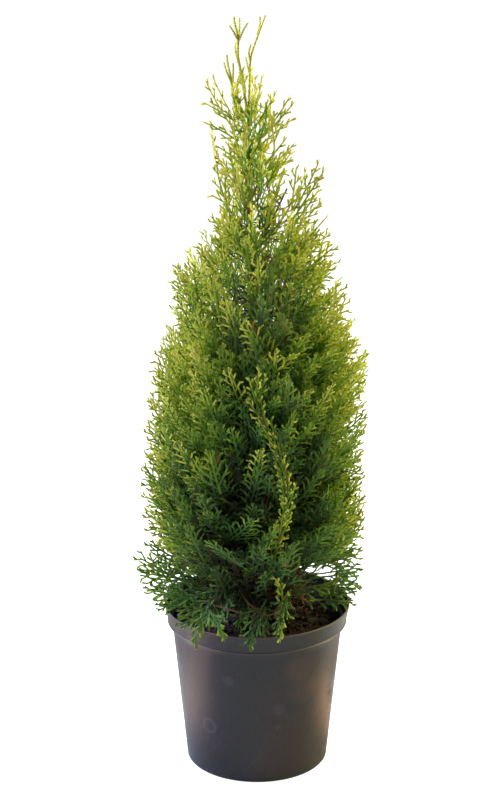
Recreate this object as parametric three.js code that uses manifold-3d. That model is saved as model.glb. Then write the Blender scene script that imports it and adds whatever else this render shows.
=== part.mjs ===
// A young thuja (white cedar) in a round nursery pot: a tapered plastic pot with a rim band, the
// soil that fills it, a single trunk that runs up through the crown, bare boughs inside, and the
// crown as masses of upright flat sprays. Millimetres, +Z up, origin at the centre of the pot's
// underside. The crown's front, as the plant is usually set, looks along -Y.

import * as THREE from 'three';
import { mergeVertices } from 'three/addons/utils/BufferGeometryUtils.js';
import Module from 'manifold-3d';

const wasm = await Module();
wasm.setup();

// ---- Driving dimensions -------------------------------------------------------------------

// Pot: a 7.5 litre container.
const POT_HEIGHT = 228;
const RIM_RADIUS = 127.5;
const BAND_HEIGHT = 26;
const BAND_FOOT_RADIUS = 122.7;
const BODY_TOP_RADIUS = 116.8;
const BASE_RADIUS = 97.5;
const WALL = 2;
const FLOOR = 3;
const FOOT_CHAMFER = 4;
const POT_SIDES = 30;
const DRAIN_HOLES = 6;
const DRAIN_RADIUS = 6;
const DRAIN_RING = 76;

// Soil, and the gap that keeps touching solids apart.
const CLEAR = 0.3;
const SOIL_DROP = 22;
const SOIL_MOUND = 5;
const SOIL_FLAT = 24;
const SOIL_LEVEL = POT_HEIGHT - SOIL_DROP;

// Trunk, in heights above the soil: points of its axis, and its radius at foot and tip.
const TRUNK_AXIS = [
  [-10, 4, 0], [-12, 3, 190], [-6, 0, 400], [-13, 0, 590], [-9, 0, 732], [10, -2, 823],
];
const TRUNK_HEIGHT = TRUNK_AXIS[TRUNK_AXIS.length - 1][2];
const TRUNK_RADIUS = 8.6;
const TRUNK_TIP_RADIUS = 1.1;
const TRUNK_SIDES = 8;
const TRUNK_STEPS = 14;
const ROOT_FLARE = 4.5;
const ROOT_FLARE_HEIGHT = 14;
const ROOTS = 4;

// Limbs: a bough is bare as far as the inner edge of its mass, and the stem goes on from there.
const BOUGH_RADIUS = 2.8;
const BOUGH_TIP_RADIUS = 1.9;
const STEM_TIP_RADIUS = 1.1;
const LIMB_SIDES = 4;
const BOUGH_STEPS = 3;
const STEM_STEPS = 2;

// Outline of the crown: height above the soil, radius, and how far its centre lies to +X.
const OUTLINE = [
  [-10, 146, -3], [38, 148, -3], [74, 152, -4], [139, 155, 1], [194, 156, -6], [254, 150, -7],
  [324, 148, 2], [379, 144, 8], [434, 121, 4], [484, 118, -1], [524, 98, 6], [564, 72, 4],
  [600, 56, -3], [679, 52, -11], [715, 64, -12], [740, 56, -16], [762, 34, -24], [824, 17, -7],
];

// Places where the crown stands out further: azimuth, height, how far out, half width, half height.
const LOBES = [
  { azimuth: 186, height: 72, out: 24, wide: 34, tall: 34 },
  { azimuth: 0, height: 622, out: 42, wide: 34, tall: 52 },
  { azimuth: 280, height: 300, out: 10, wide: 14, tall: 120 },
];

// Tiers of the crown, from the soil up. Each tier's lower side is a bowl that starts at the trunk
// at this height, climbs outwards by this slope and steepens by bend; the next tier's bowl is its
// upper side. inner is where the foliage starts and core where the dense part ends, as parts of the
// reach. masses and turn deal the masses round the trunk, turn being the first one's azimuth. lay is
// how far the sprays' planes lean from upright, in degrees, and width how broad the sprays are.
const BEND = 0.004;
const TIERS = [
  { name: 'skirt', height: 4, slope: 0, bend: 0, sprays: 3, bough: true, inner: 0.4, core: 0,
    lay: 80, width: 0.85 },
  { name: 'low', height: 30, slope: 0.05, bend: BEND, masses: 5, turn: 270, sprays: 4, bough: true,
    inner: 0.34, core: 0.62, lay: 0, width: 1 },
  { name: 'belly', height: 100, slope: 0.15, bend: BEND, masses: 5, turn: 278, sprays: 4,
    bough: false, inner: 0.3, core: 0.62, lay: 0, width: 1 },
  { name: 'waist', height: 165, slope: 0.3, bend: BEND, masses: 5, turn: 242, sprays: 4,
    bough: false, inner: 0.3, core: 0.62, lay: 0, width: 1 },
  { name: 'shoulder', height: 232, slope: 0.45, bend: BEND, masses: 4, turn: 270, sprays: 4,
    bough: false, inner: 0.3, core: 0.62, lay: 0, width: 1 },
  { name: 'upper', height: 318, slope: 0.65, bend: BEND, masses: 4, turn: 225, sprays: 3,
    bough: false, inner: 0.3, core: 0.6, lay: 0, width: 1 },
  { name: 'neck', height: 404, slope: 0.9, bend: BEND, masses: 4, turn: 0, sprays: 3,
    bough: false, inner: 0.3, core: 0.58, lay: 0, width: 0.9 },
  { name: 'throat', height: 490, slope: 1, bend: BEND, masses: 3, turn: 0, sprays: 4,
    bough: false, inner: 0.3, core: 0.54, lay: 0, width: 1 },
  { name: 'tuft', height: 600, slope: 1.1, bend: BEND, masses: 3, turn: 300, sprays: 4,
    bough: false, inner: 0.3, core: 0, lay: 0, width: 0.8 },
  { name: 'leader', height: 735, slope: 1.4, bend: BEND, masses: 1, turn: 180, sprays: 4,
    bough: false, inner: 0.4, core: 0, lay: 0, width: 0.5 },
];
const CROWN_TOP = { height: 797, slope: 1, bend: 0 };
const LEADER_SECTOR = 75;

// The skirt's masses: azimuth and half width in degrees, and whether it hangs over the rim. The
// skirt is open at the right of its back, where the soil and the rim show.
const SKIRT = [
  [346, 16, false], [286, 13, false], [258, 14, true], [226, 17, false], [188, 20, false],
  [134, 24, false], [86, 20, false],
];
const HANG = 0.26;

// Sprays: flat toothed blades that stand in upright planes round the trunk.
const SPRAY_LONGEST = 124;
const SPRAY_SHORTEST = 30;
const SPRAY_THICKNESS = 2.2;
const SPRAY_SHARES = [1, 0.85, 0.7, 0.55, 0.4];
const SPRAY_TEETH = 3;
const SPRAY_TURN = 60;
const SKIRT_TURN = 22;
const MASS_GAP = 1.2;
const WIDEST = 155;
const RIM_GAP = 2.5;

const POT_COLOUR = 0x37363b;
const SOIL_COLOUR = 0x2a2018;
const BARK_COLOUR = 0x6b4a35;
const LOW_GREEN = new THREE.Color(0x33501f);
const TOP_GREEN = new THREE.Color(0x8fa83c);

// ---- Small tools --------------------------------------------------------------------------

const radians = THREE.MathUtils.degToRad;
const lerp = THREE.MathUtils.lerp;

// Seeded numbers from 0 to 1, so that the plant grows the same way each time.
function seeded(seed) {
  let state = seed;
  return () => {
    state = (state * 1664525 + 1013904223) % 4294967296;
    return state / 4294967296;
  };
}

// A closed geometry as a solid that can be joined and cut.
function toSolid(geometry) {
  const bare = geometry.clone();
  bare.deleteAttribute('normal');
  bare.deleteAttribute('uv');
  const welded = mergeVertices(bare, 1e-3);
  const vertProperties = new Float32Array(welded.attributes.position.array);
  const triVerts = new Uint32Array(welded.index.array);
  return new wasm.Manifold(new wasm.Mesh({ numProp: 3, vertProperties, triVerts }));
}

// A solid as a geometry that keeps only its largest closed shell: a sealed hollow is filled by
// dropping its wall, and a loose scrap is dropped.
function toGeometry(solid) {
  const { vertProperties, triVerts } = solid.getMesh();
  const owner = Array.from({ length: vertProperties.length / 3 }, (_, i) => i);
  const rootOf = (i) => {
    let at = i;
    while (owner[at] !== at) {
      owner[at] = owner[owner[at]];
      at = owner[at];
    }
    return at;
  };
  for (let i = 0; i < triVerts.length; i += 3) {
    owner[rootOf(triVerts[i])] = rootOf(triVerts[i + 1]);
    owner[rootOf(triVerts[i + 1])] = rootOf(triVerts[i + 2]);
  }
  const corner = (i) => new THREE.Vector3().fromArray(vertProperties, 3 * triVerts[i]);
  const volumes = new Map();
  for (let i = 0; i < triVerts.length; i += 3) {
    const shell = rootOf(triVerts[i]);
    const six = corner(i).dot(corner(i + 1).cross(corner(i + 2)));
    volumes.set(shell, (volumes.get(shell) ?? 0) + six);
  }
  const largest = [...volumes.entries()].sort((a, b) => b[1] - a[1])[0][0];
  const isKept = (_, i) => rootOf(triVerts[3 * Math.floor(i / 3)]) === largest;
  const kept = Array.from(triVerts).filter(isKept);
  const geometry = new THREE.BufferGeometry();
  geometry.setAttribute('position', new THREE.BufferAttribute(new Float32Array(vertProperties), 3));
  geometry.setIndex(kept);
  return geometry;
}

// Moves every corner of a geometry by a rule that maps one point to another.
function remap(geometry, rule) {
  const position = geometry.attributes.position;
  const point = new THREE.Vector3();
  for (let i = 0; i < position.count; i += 1) {
    point.fromBufferAttribute(position, i);
    const moved = rule(point);
    position.setXYZ(i, moved.x, moved.y, moved.z);
  }
  return geometry;
}

// A limb along a curve, from one share of its length to another: a cylinder bent to the curve,
// with a radius for each place and side.
function limb(curve, from, to, sides, steps, radiusAt) {
  const straight = new THREE.CylinderGeometry(1, 1, 1, sides, steps);
  return remap(straight, (point) => {
    const t = THREE.MathUtils.clamp(point.y + 0.5, 0, 1);
    const share = lerp(from, to, t);
    const along = curve.getTangentAt(share);
    const across = new THREE.Vector3(along.z, 0, -along.x).normalize();
    if (across.lengthSq() < 0.5) {
      across.set(1, 0, 0);
    }
    const over = new THREE.Vector3().crossVectors(across, along);
    const radius = radiusAt(t, Math.atan2(point.z, point.x));
    return curve.getPointAt(share)
      .addScaledVector(across, radius * point.x)
      .addScaledVector(over, radius * point.z);
  });
}

// The value of a table's column at a height, straight between its rows.
function tableAt(table, height, column) {
  const above = table.findIndex((row) => row[0] >= height);
  if (above < 0) {
    return table[table.length - 1][column];
  }
  if (above === 0) {
    return table[0][column];
  }
  const [a, b] = [table[above - 1], table[above]];
  return lerp(a[column], b[column], (height - a[0]) / (b[0] - a[0]));
}

// ---- Space of the crown -------------------------------------------------------------------

const trunkCurve = new THREE.CatmullRomCurve3(TRUNK_AXIS.map((p) => new THREE.Vector3(...p)));

// The trunk's axis at a height above the soil.
function trunkAt(height) {
  const column = (index) => tableAt(TRUNK_AXIS.map(([x, y, z]) => [z, x, y]), height, index);
  return new THREE.Vector3(column(1), column(2), height);
}

// How far the crown reaches from the pot's axis, in a direction (degrees) and at a height.
function reach(azimuth, height) {
  const radius = tableAt(OUTLINE, height, 1) + tableAt(OUTLINE, height, 2) * Math.cos(radians(azimuth));
  return LOBES.reduce((sum, lobe) => {
    const turn = ((azimuth - lobe.azimuth + 540) % 360) - 180;
    const nearness = 1 - (turn / lobe.wide) ** 2 - ((height - lobe.height) / lobe.tall) ** 2;
    return sum + lobe.out * Math.max(0, nearness);
  }, radius);
}

// The lowest that foliage goes: over the soil, clear of the rim, and a little way down outside it.
function lowest(radius) {
  if (radius < BODY_TOP_RADIUS - RIM_GAP) {
    return SOIL_MOUND + RIM_GAP;
  }
  return radius < RIM_RADIUS + RIM_GAP ? SOIL_DROP + RIM_GAP : -2;
}

// The height of a tier's lower side at a distance from the axis.
function bowl(side, radius) {
  return side.height + side.slope * radius + side.bend * radius ** 2;
}

// A cell is the space of one mass: between two bowls, within a sector, up to the crown's reach.
// g runs across the sector and f up from bowl to bowl, both from -1 to 1; d runs out to the reach.
function placeIn(cell, g, f, d) {
  const azimuth = cell.azimuth + g * cell.halfWidth;
  const share = (f + 1) / 2;
  const side = {
    height: lerp(cell.below.height, cell.above.height, share),
    slope: lerp(cell.below.slope, cell.above.slope, share),
    bend: lerp(cell.below.bend, cell.above.bend, share),
  };
  let radius = 0.6 * d * WIDEST;
  for (let round = 0; round < 8; round += 1) {
    radius = lerp(radius, d * reach(azimuth, bowl(side, radius)), 0.5);
  }
  const height = Math.max(bowl(side, radius), lowest(radius) + 1);
  return new THREE.Vector3(
    radius * Math.cos(radians(azimuth)), radius * Math.sin(radians(azimuth)), height);
}

// Whether a point lies in a cell, by a gap clear of its sides, the trunk, the soil and the rim.
function isIn(cell, point, gap) {
  const radius = Math.hypot(point.x, point.y);
  const azimuth = THREE.MathUtils.radToDeg(Math.atan2(point.y, point.x));
  const turn = Math.abs(((azimuth - cell.azimuth + 900) % 360) - 180);
  const side = (cell.halfWidth - turn) * radians(1) * radius;
  const fromTrunk = trunkAt(point.z).setZ(0).distanceTo(new THREE.Vector3(point.x, point.y, 0));
  return side > gap
    && fromTrunk > trunkRadius(point.z / TRUNK_HEIGHT, 0, 4 * CLEAR)
    && point.z > lowest(radius)
    && (cell.below.slope === 0 || point.z > bowl(cell.below, radius) + gap)
    && point.z < bowl(cell.above, radius) - gap
    && radius < reach(azimuth, point.z) + gap;
}

// ---- Pot, soil and trunk ------------------------------------------------------------------

// The pot: a turned shell with a rim band, a rounded foot and drain holes in its floor.
function potGeometry() {
  const bandFoot = POT_HEIGHT - BAND_HEIGHT;
  const profile = [
    [0, 0], [BASE_RADIUS - FOOT_CHAMFER, 0], [BASE_RADIUS, FOOT_CHAMFER],
    [BODY_TOP_RADIUS, bandFoot + WALL], [BAND_FOOT_RADIUS - 1, bandFoot],
    [BAND_FOOT_RADIUS, bandFoot + 1], [RIM_RADIUS, POT_HEIGHT - 1],
    [RIM_RADIUS - 1, POT_HEIGHT], [RIM_RADIUS - WALL - 0.5, POT_HEIGHT],
    [BAND_FOOT_RADIUS - WALL, bandFoot + 2 * WALL], [BODY_TOP_RADIUS - WALL, bandFoot + WALL],
    [BASE_RADIUS - WALL, FOOT_CHAMFER + 1], [BASE_RADIUS - WALL - FOOT_CHAMFER, FLOOR], [0, FLOOR],
  ].map(([radius, height]) => new THREE.Vector2(radius, height));
  let pot = toSolid(new THREE.LatheGeometry(profile, POT_SIDES).rotateX(Math.PI / 2));
  for (let hole = 0; hole < DRAIN_HOLES; hole += 1) {
    const angle = ((hole + 0.5) / DRAIN_HOLES) * 2 * Math.PI;
    const drill = new THREE.CylinderGeometry(DRAIN_RADIUS, DRAIN_RADIUS, 4 * FLOOR, 8);
    drill.rotateX(Math.PI / 2);
    drill.translate(DRAIN_RING * Math.cos(angle), DRAIN_RING * Math.sin(angle), FLOOR / 2);
    pot = pot.subtract(toSolid(drill));
  }
  return toGeometry(pot);
}

// The soil fills the pot, a hair clear of its wall, and rises a little towards the trunk.
function soilGeometry() {
  const bottom = FLOOR + CLEAR;
  const wallAt = (height) => {
    const share = (height - FOOT_CHAMFER) / (POT_HEIGHT - BAND_HEIGHT + WALL - FOOT_CHAMFER);
    return lerp(BASE_RADIUS, BODY_TOP_RADIUS, share) - WALL - 3 * CLEAR;
  };
  const edge = SOIL_LEVEL - SOIL_DROP / 2;
  const profile = [
    [0, bottom], [wallAt(0) - FOOT_CHAMFER, bottom], [wallAt(8), 8], [wallAt(edge), edge],
    [wallAt(edge) * 0.72, SOIL_LEVEL - SOIL_MOUND], [SOIL_FLAT, SOIL_LEVEL], [0, SOIL_LEVEL],
  ].map(([radius, height]) => new THREE.Vector2(radius, height));
  return new THREE.LatheGeometry(profile, POT_SIDES).rotateX(Math.PI / 2);
}

// The trunk's radius: an even taper, with a flare of a few roots just over the soil.
function trunkRadius(t, angle, extra) {
  const height = t * TRUNK_HEIGHT;
  const roots = 0.75 + 0.25 * Math.cos(ROOTS * angle);
  const flare = ROOT_FLARE * Math.exp(-height / ROOT_FLARE_HEIGHT) * roots;
  return lerp(TRUNK_RADIUS, TRUNK_TIP_RADIUS, t ** 0.8) + flare + extra;
}

// The trunk, or the space that is kept free round it where extra is more than 0.
function trunkGeometry(extra) {
  const radiusAt = (t, angle) => trunkRadius(t, angle, extra);
  return limb(trunkCurve, 0, 1, TRUNK_SIDES, TRUNK_STEPS, radiusAt);
}

const trunkSpace = toSolid(trunkGeometry(2 * CLEAR));

// ---- Masses of foliage --------------------------------------------------------------------

// The way from the trunk out through a cell: the bough takes its inner part, the stem the rest.
function cellPath(cell) {
  const inner = cell.tier.inner;
  const out = cell.tier.core > 0 ? cell.tier.core - 0.1 : inner + 0.14 + (cell.hangs ? HANG : 0);
  const first = placeIn(cell, 0, -0.1, inner);
  const rise = lerp(0.15, 0.8, (cell.index * 0.382) % 1);
  const foot = trunkAt(lerp(cell.below.height, cell.above.height, rise));
  return new THREE.CatmullRomCurve3([
    foot, foot.clone().lerp(first, 0.55).add(new THREE.Vector3(0, 0, -2)), first,
    placeIn(cell, 0.08, 0, (inner + out) / 2), placeIn(cell, -0.05, 0.15, out),
  ]);
}

// The share of a path's length at which its bough ends: the place nearest to the inner edge.
function boughShare(cell, path) {
  const edge = placeIn(cell, 0, -0.1, cell.tier.inner);
  const shares = Array.from({ length: 41 }, (_, i) => i / 40);
  return shares.reduce((best, share) => (
    path.getPointAt(share).distanceTo(edge) < path.getPointAt(best).distanceTo(edge) ? share : best));
}

// A flat toothed blade of unit length along +X and unit thickness along Z: a narrow rib with
// triangular teeth on both sides that point forwards.
function bladeGeometry(teeth) {
  const corners = [];
  const faces = [];
  const corner = (x, y) => corners.push([x, y]) - 1;
  let left = corner(0, 0.03);
  let right = corner(0, -0.03);
  const leftSide = [left];
  const rightSide = [right];
  for (let tooth = 0; tooth < teeth; tooth += 1) {
    const share = tooth / (teeth - 1);
    const rib = lerp(0.26, 0.8, share);
    const nextLeft = corner(rib, 0.05);
    const nextRight = corner(rib, -0.05);
    const tipLeft = corner(rib + 0.08, lerp(0.28, 0.14, share));
    const tipRight = corner(rib + 0.08, -lerp(0.28, 0.14, share));
    faces.push([left, right, nextRight], [left, nextRight, nextLeft]);
    faces.push([left, nextLeft, tipLeft], [right, tipRight, nextRight]);
    leftSide.push(tipLeft, nextLeft);
    rightSide.push(tipRight, nextRight);
    [left, right] = [nextLeft, nextRight];
  }
  const apex = corner(1, 0);
  faces.push([left, right, apex]);
  const rim = [...rightSide, apex, ...leftSide.reverse()];
  const count = corners.length;
  const index = faces.flatMap(([a, b, c]) => [a + count, b + count, c + count, c, b, a]);
  rim.forEach((a, i) => {
    const b = rim[(i + 1) % rim.length];
    index.push(a, b, b + count, a, b + count, a + count);
  });
  const places = [-0.5, 0.5].flatMap((z) => corners.flatMap(([x, y]) => [x, y, z]));
  const geometry = new THREE.BufferGeometry();
  geometry.setAttribute('position', new THREE.Float32BufferAttribute(places, 3));
  return geometry.setIndex(index);
}

// A spray from its root to its target, in a plane that is turned about its length by twist.
function sprayGeometry(root, target, twist, width) {
  const along = target.clone().sub(root);
  const length = along.length();
  along.normalize();
  const outward = new THREE.Vector3(root.x, root.y, 0).normalize();
  const level = new THREE.Vector3(-outward.y, outward.x, 0);
  const normal = level.applyAxisAngle(along, twist);
  normal.addScaledVector(along, -normal.dot(along)).normalize();
  const across = new THREE.Vector3().crossVectors(normal, along);
  return remap(bladeGeometry(SPRAY_TEETH), (point) => root.clone()
    .addScaledVector(along, length * point.x)
    .addScaledVector(across, width * length * point.y)
    .addScaledVector(normal, SPRAY_THICKNESS * point.z));
}

// Whether a spray stays in its cell, a gap from its neighbours, and clear of the cell's bough.
function fits(cell, geometry, limbs) {
  const position = geometry.attributes.position;
  const point = new THREE.Vector3();
  for (let i = 0; i < position.count; i += 1) {
    point.fromBufferAttribute(position, i);
    const nearLimb = limbs.some((spot) => spot.distanceTo(point) < 2 * BOUGH_RADIUS);
    if (nearLimb || !isIn(cell, point, MASS_GAP)) {
      return false;
    }
  }
  return true;
}

// The dense heart of a mass: a box with rounded corners that is bent to fill the cell.
function coreGeometry(cell) {
  const box = new THREE.BoxGeometry(2, 2, 2, 2, 1, 2);
  const inner = cell.tier.inner + 0.05;
  return remap(box, ({ x, y, z }) => {
    const g = -x * Math.sqrt(1 - 0.24 * y * y - 0.2 * z * z);
    const f = z * Math.sqrt(1 - 0.24 * y * y - 0.2 * x * x);
    const d = lerp(inner, cell.tier.core, (y * (1 - 0.1 * x * x - 0.1 * z * z) + 1) / 2);
    const inset = (2.4 * MASS_GAP) / (radians(cell.halfWidth) * 60 * (0.4 + d));
    return placeIn(cell, g * (1 - inset), f * 0.92, d);
  });
}

// The sprays of a mass: their roots lie in the core, or on the stem where the mass has no core,
// and their targets on the crown's outline. A spray that leaves the cell is shortened step by step,
// and left out where none of the lengths fits.
function spraySolids(cell, stemAt, limbs, random) {
  const solids = [];
  const { sprays, core, lay, width } = cell.tier;
  for (let i = 0; i < sprays; i += 1) {
    const g = (((i * 0.618 + 0.2) % 1) * 2 - 1) * 0.7;
    const f = cell.hangs ? -0.93 : lerp(-0.9, core > 0 ? 0.4 : 0.7, (i + 0.5) / sprays);
    const root = core > 0
      ? placeIn(cell, g * 0.84, f * 0.8, core - 0.1)
      : stemAt(lerp(cell.hangs ? 0.85 : 0.5, 0.97, i / (sprays - 1)));
    const rise = core > 0 ? lerp(0.8, 1.2, random()) : 0;
    const turn = lerp(0.3, 1, random()) * (i % 2 ? 1 : -1) * (lay > 0 ? SKIRT_TURN : SPRAY_TURN);
    const twist = radians(lay + turn);
    const broad = lerp(0.9, 1.15, random()) * width;
    for (const share of SPRAY_SHARES) {
      const far = placeIn(cell, g, Math.min(f + share * rise, 0.9), 0.99);
      const length = Math.min((0.75 + 0.25 * share) * far.distanceTo(root), SPRAY_LONGEST);
      const target = far.sub(root).setLength(length).add(root);
      const spray = sprayGeometry(root, target, twist, share * broad);
      if (length > SPRAY_SHORTEST && fits(cell, spray, limbs)) {
        solids.push(toSolid(spray));
        break;
      }
    }
  }
  return solids;
}

// ---- The scene ----------------------------------------------------------------------------

// A plain finish of one colour.
function material(colour, roughness) {
  return new THREE.MeshStandardMaterial({ color: colour, roughness, metalness: 0 });
}

// A named piece of the plant.
function named(name, geometry, finish) {
  const mesh = new THREE.Mesh(geometry, finish);
  mesh.name = name;
  return mesh;
}

const plasticFinish = material(POT_COLOUR, 0.42);
const soilFinish = material(SOIL_COLOUR, 1);
const barkFinish = material(BARK_COLOUR, 0.85);

const plant = new THREE.Group();
plant.position.z = SOIL_LEVEL + CLEAR;
plant.add(named('trunk', trunkGeometry(0), barkFinish));

TIERS.forEach((tier, level) => {
  const above = level + 1 < TIERS.length ? TIERS[level + 1] : CROWN_TOP;
  const ring = Array.from({ length: tier.masses ?? 0 }, (_, i) => (
    [tier.turn + (i * 360) / tier.masses, Math.min(180 / tier.masses, LEADER_SECTOR), false]));
  const sectors = tier.masses === undefined ? SKIRT : ring;
  sectors.forEach(([azimuth, halfWidth, hangs], index) => {
    const random = seeded(1000 * level + index + 7);
    const cell = { tier, index, below: tier, above, azimuth, halfWidth, hangs };
    const path = cellPath(cell);
    const end = tier.bough ? boughShare(cell, path) : 0;
    const limbs = [];
    if (tier.bough) {
      const thin = (t) => lerp(BOUGH_RADIUS, BOUGH_TIP_RADIUS, t);
      const bough = toSolid(limb(path, 0, end, LIMB_SIDES, BOUGH_STEPS, thin));
      const bare = toGeometry(bough.subtract(trunkSpace));
      plant.add(named(`bough_${tier.name}_${index + 1}`, bare, barkFinish));
      limbs.push(...Array.from({ length: 8 }, (_, i) => path.getPointAt((end * i) / 8)));
    }
    const start = tier.bough ? end + CLEAR / path.getLength() : 0;
    const trunkShare = path.getPointAt(0).z / TRUNK_HEIGHT;
    const stemRadius = tier.bough ? BOUGH_TIP_RADIUS : 0.5 * trunkRadius(trunkShare, 0, 0);
    const taper = (t) => lerp(stemRadius, STEM_TIP_RADIUS, t);
    let mass = toSolid(limb(path, start, 1, LIMB_SIDES, STEM_STEPS, taper));
    if (!tier.bough) {
      mass = mass.subtract(trunkSpace);
    }
    if (tier.core > 0) {
      mass = mass.add(toSolid(coreGeometry(cell)));
    }
    const sprays = spraySolids(cell, (t) => path.getPointAt(lerp(start, 1, t)), limbs, random);
    mass = sprays.reduce((sum, spray) => sum.add(spray), mass);
    const green = LOW_GREEN.clone().lerp(TOP_GREEN, level / TIERS.length);
    plant.add(named(`foliage_${tier.name}_${index + 1}`, toGeometry(mass), material(green, 0.7)));
  });
});

const group = new THREE.Group();
group.add(named('pot', potGeometry(), plasticFinish));
group.add(named('soil', soilGeometry(), soilFinish));
group.add(plant);
group.updateMatrixWorld(true);

export default group;
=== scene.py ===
"""A young columnar thuja in a round nursery pot, dressed for a close look.

The plant grows again here by the rule that its solids follow: cells of space between bowls round
the trunk, one mass of foliage in each. Every mass is carried to fine twigs: a stem, thin woody
twigs, and flat sprays whose side shoots carry scaly shoots in two ranks. Lengths are millimetres
in plant space, whose heights count from the soil, and become metres as a mesh is made.
"""

import math

import bpy
import numpy as np
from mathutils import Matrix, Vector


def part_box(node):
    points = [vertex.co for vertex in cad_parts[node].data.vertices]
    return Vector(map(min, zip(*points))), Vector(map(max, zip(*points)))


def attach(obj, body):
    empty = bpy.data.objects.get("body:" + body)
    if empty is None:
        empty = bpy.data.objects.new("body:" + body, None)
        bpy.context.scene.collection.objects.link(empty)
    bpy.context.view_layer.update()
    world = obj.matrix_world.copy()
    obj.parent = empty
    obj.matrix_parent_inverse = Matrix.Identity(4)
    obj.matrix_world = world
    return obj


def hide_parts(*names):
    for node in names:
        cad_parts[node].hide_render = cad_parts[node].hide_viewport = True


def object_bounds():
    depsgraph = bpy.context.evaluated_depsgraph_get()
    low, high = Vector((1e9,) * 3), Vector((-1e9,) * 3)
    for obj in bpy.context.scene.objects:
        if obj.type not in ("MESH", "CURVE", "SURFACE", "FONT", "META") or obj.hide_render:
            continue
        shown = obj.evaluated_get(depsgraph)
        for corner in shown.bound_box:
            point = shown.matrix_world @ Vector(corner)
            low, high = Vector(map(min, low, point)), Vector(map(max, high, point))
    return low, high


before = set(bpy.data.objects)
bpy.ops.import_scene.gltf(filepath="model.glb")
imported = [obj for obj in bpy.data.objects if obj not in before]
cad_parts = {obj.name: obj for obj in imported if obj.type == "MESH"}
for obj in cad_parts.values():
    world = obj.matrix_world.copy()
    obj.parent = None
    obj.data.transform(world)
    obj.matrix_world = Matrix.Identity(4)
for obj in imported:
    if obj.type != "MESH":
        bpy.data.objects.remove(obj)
cad_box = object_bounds()

# ---- Sizes --------------------------------------------------------------------------------

# A millimetre in metres, the heights of the soil and of the rim above the ground, and the corners
# of the solids' box in plant space.
MM = 0.001
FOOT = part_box("trunk")[0][2] / MM
POT_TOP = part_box("pot")[1][2] / MM
BOX_LOW, BOX_HIGH = (np.array(corner) / MM - [0, 0, FOOT] for corner in cad_box)

# Pot, as its solid: radii and heights of rim, band, wall and foot, the six holes in its floor on
# a ring, and the angle past which an edge shows crisp.
RIM_RADIUS = 127.5
BAND_HEIGHT = 26
BAND_FOOT = POT_TOP - BAND_HEIGHT
BAND_FOOT_RADIUS = 122.7
BODY_TOP_RADIUS = 116.8
BASE_RADIUS = 97.5
WALL = 2
FLOOR = 3
FOOT_CHAMFER = 4
POT_SIDES = 160
DRAIN_HOLES = 6
DRAIN_RADIUS = 6
DRAIN_RING = 76
DRAIN_SIDES = 20
WALL_RINGS = 24
CRISP_ANGLE = 38

# Soil: how far it lies under the rim, how high it is heaped, its lumps and crumbs as (height,
# length, seed, number of waves), and what lies on it.
SOIL_DROP = 22
SOIL_MOUND = 5
SOIL_LUMPS = [(1.9, 34, 11, 14), (1.3, 13, 12, 14), (0.9, 5.5, 13, 30)]
SOIL_SIDES = 150
SOIL_RINGS = 56
CHIPS = 2800
CHIP_REACH = 108
FIBRES = 420
FIBRE_REACH = 104
LITTER_SEED = 404

# Trunk: points of its axis, its radius at foot and tip, the flare of its roots, the depth of its
# bark, the heights at which it turns green and pale, and the scale leaves round its green part.
TRUNK_AXIS = np.array([
    [-10, 4, 0], [-12, 3, 190], [-6, 0, 400], [-13, 0, 590], [-10, 0, 732], [-8.5, 0, 768],
    [-2, -1, 790], [10, -2, 823],
], float)
TRUNK_HEIGHT = TRUNK_AXIS[-1, 2]
TRUNK_RADIUS = 8.6
TRUNK_TIP_RADIUS = 1.1
ROOT_FLARE = 4.5
ROOT_FLARE_HEIGHT = 14
ROOTS = 4
TRUNK_RINGS = 240
TRUNK_SIDES = 20
TRUNK_BARK = 0.45
GREEN_FROM = 575
GREENING = 60
PALE_FROM = 715
LEAF_RING_GAP = 7
LEAF_RING_SWELL = 0.34
LEADER_SWELL = 0.16
LEADER_TAPER = 0.72

# Limbs: the bare boughs, the stems that carry on from them, and the woody twigs to the sprays.
BOUGH_RADIUS = 2.8
BOUGH_TIP_RADIUS = 1.9
BOUGH_RINGS = 26
BOUGH_SIDES = 10
BOUGH_BARK = 0.22
STEM_TIP_RADIUS = 1.1
STEM_STEP = 4
LIMB_SIDES = 7
TWIG_PLACES = 6
TWIG_WIDTHS = (2.6, 1.5)
TWIG_OVERLAP = 6
TWIG_NORMAL = (0.3, 0.1, 1.0)

# Outline of the crown: height above the soil, radius, and how far its centre lies to +X.
OUTLINE = np.array([
    [-10, 146, -3], [38, 148, -3], [74, 152, -4], [139, 155, 1], [194, 156, -6], [254, 150, -7],
    [324, 148, 2], [379, 144, 8], [434, 121, 4], [484, 118, -1], [524, 98, 6], [564, 72, 4],
    [600, 56, -3], [679, 52, -11], [715, 64, -12], [740, 56, -16], [762, 34, -24], [824, 17, -7],
], float)

# Places where the crown stands out further: azimuth, height, how far out, half width and height.
LOBES = [(186, 72, 24, 34, 34), (0, 622, 42, 34, 52), (280, 300, 10, 14, 120)]

# Windows: slanted openings through the crown, given by where they lie to the side, their height
# over the pot's axis, their half width and half height, and how they fall away to the back.
WINDOWS = [(80, 64, 27, 11, -0.41)]

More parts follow.
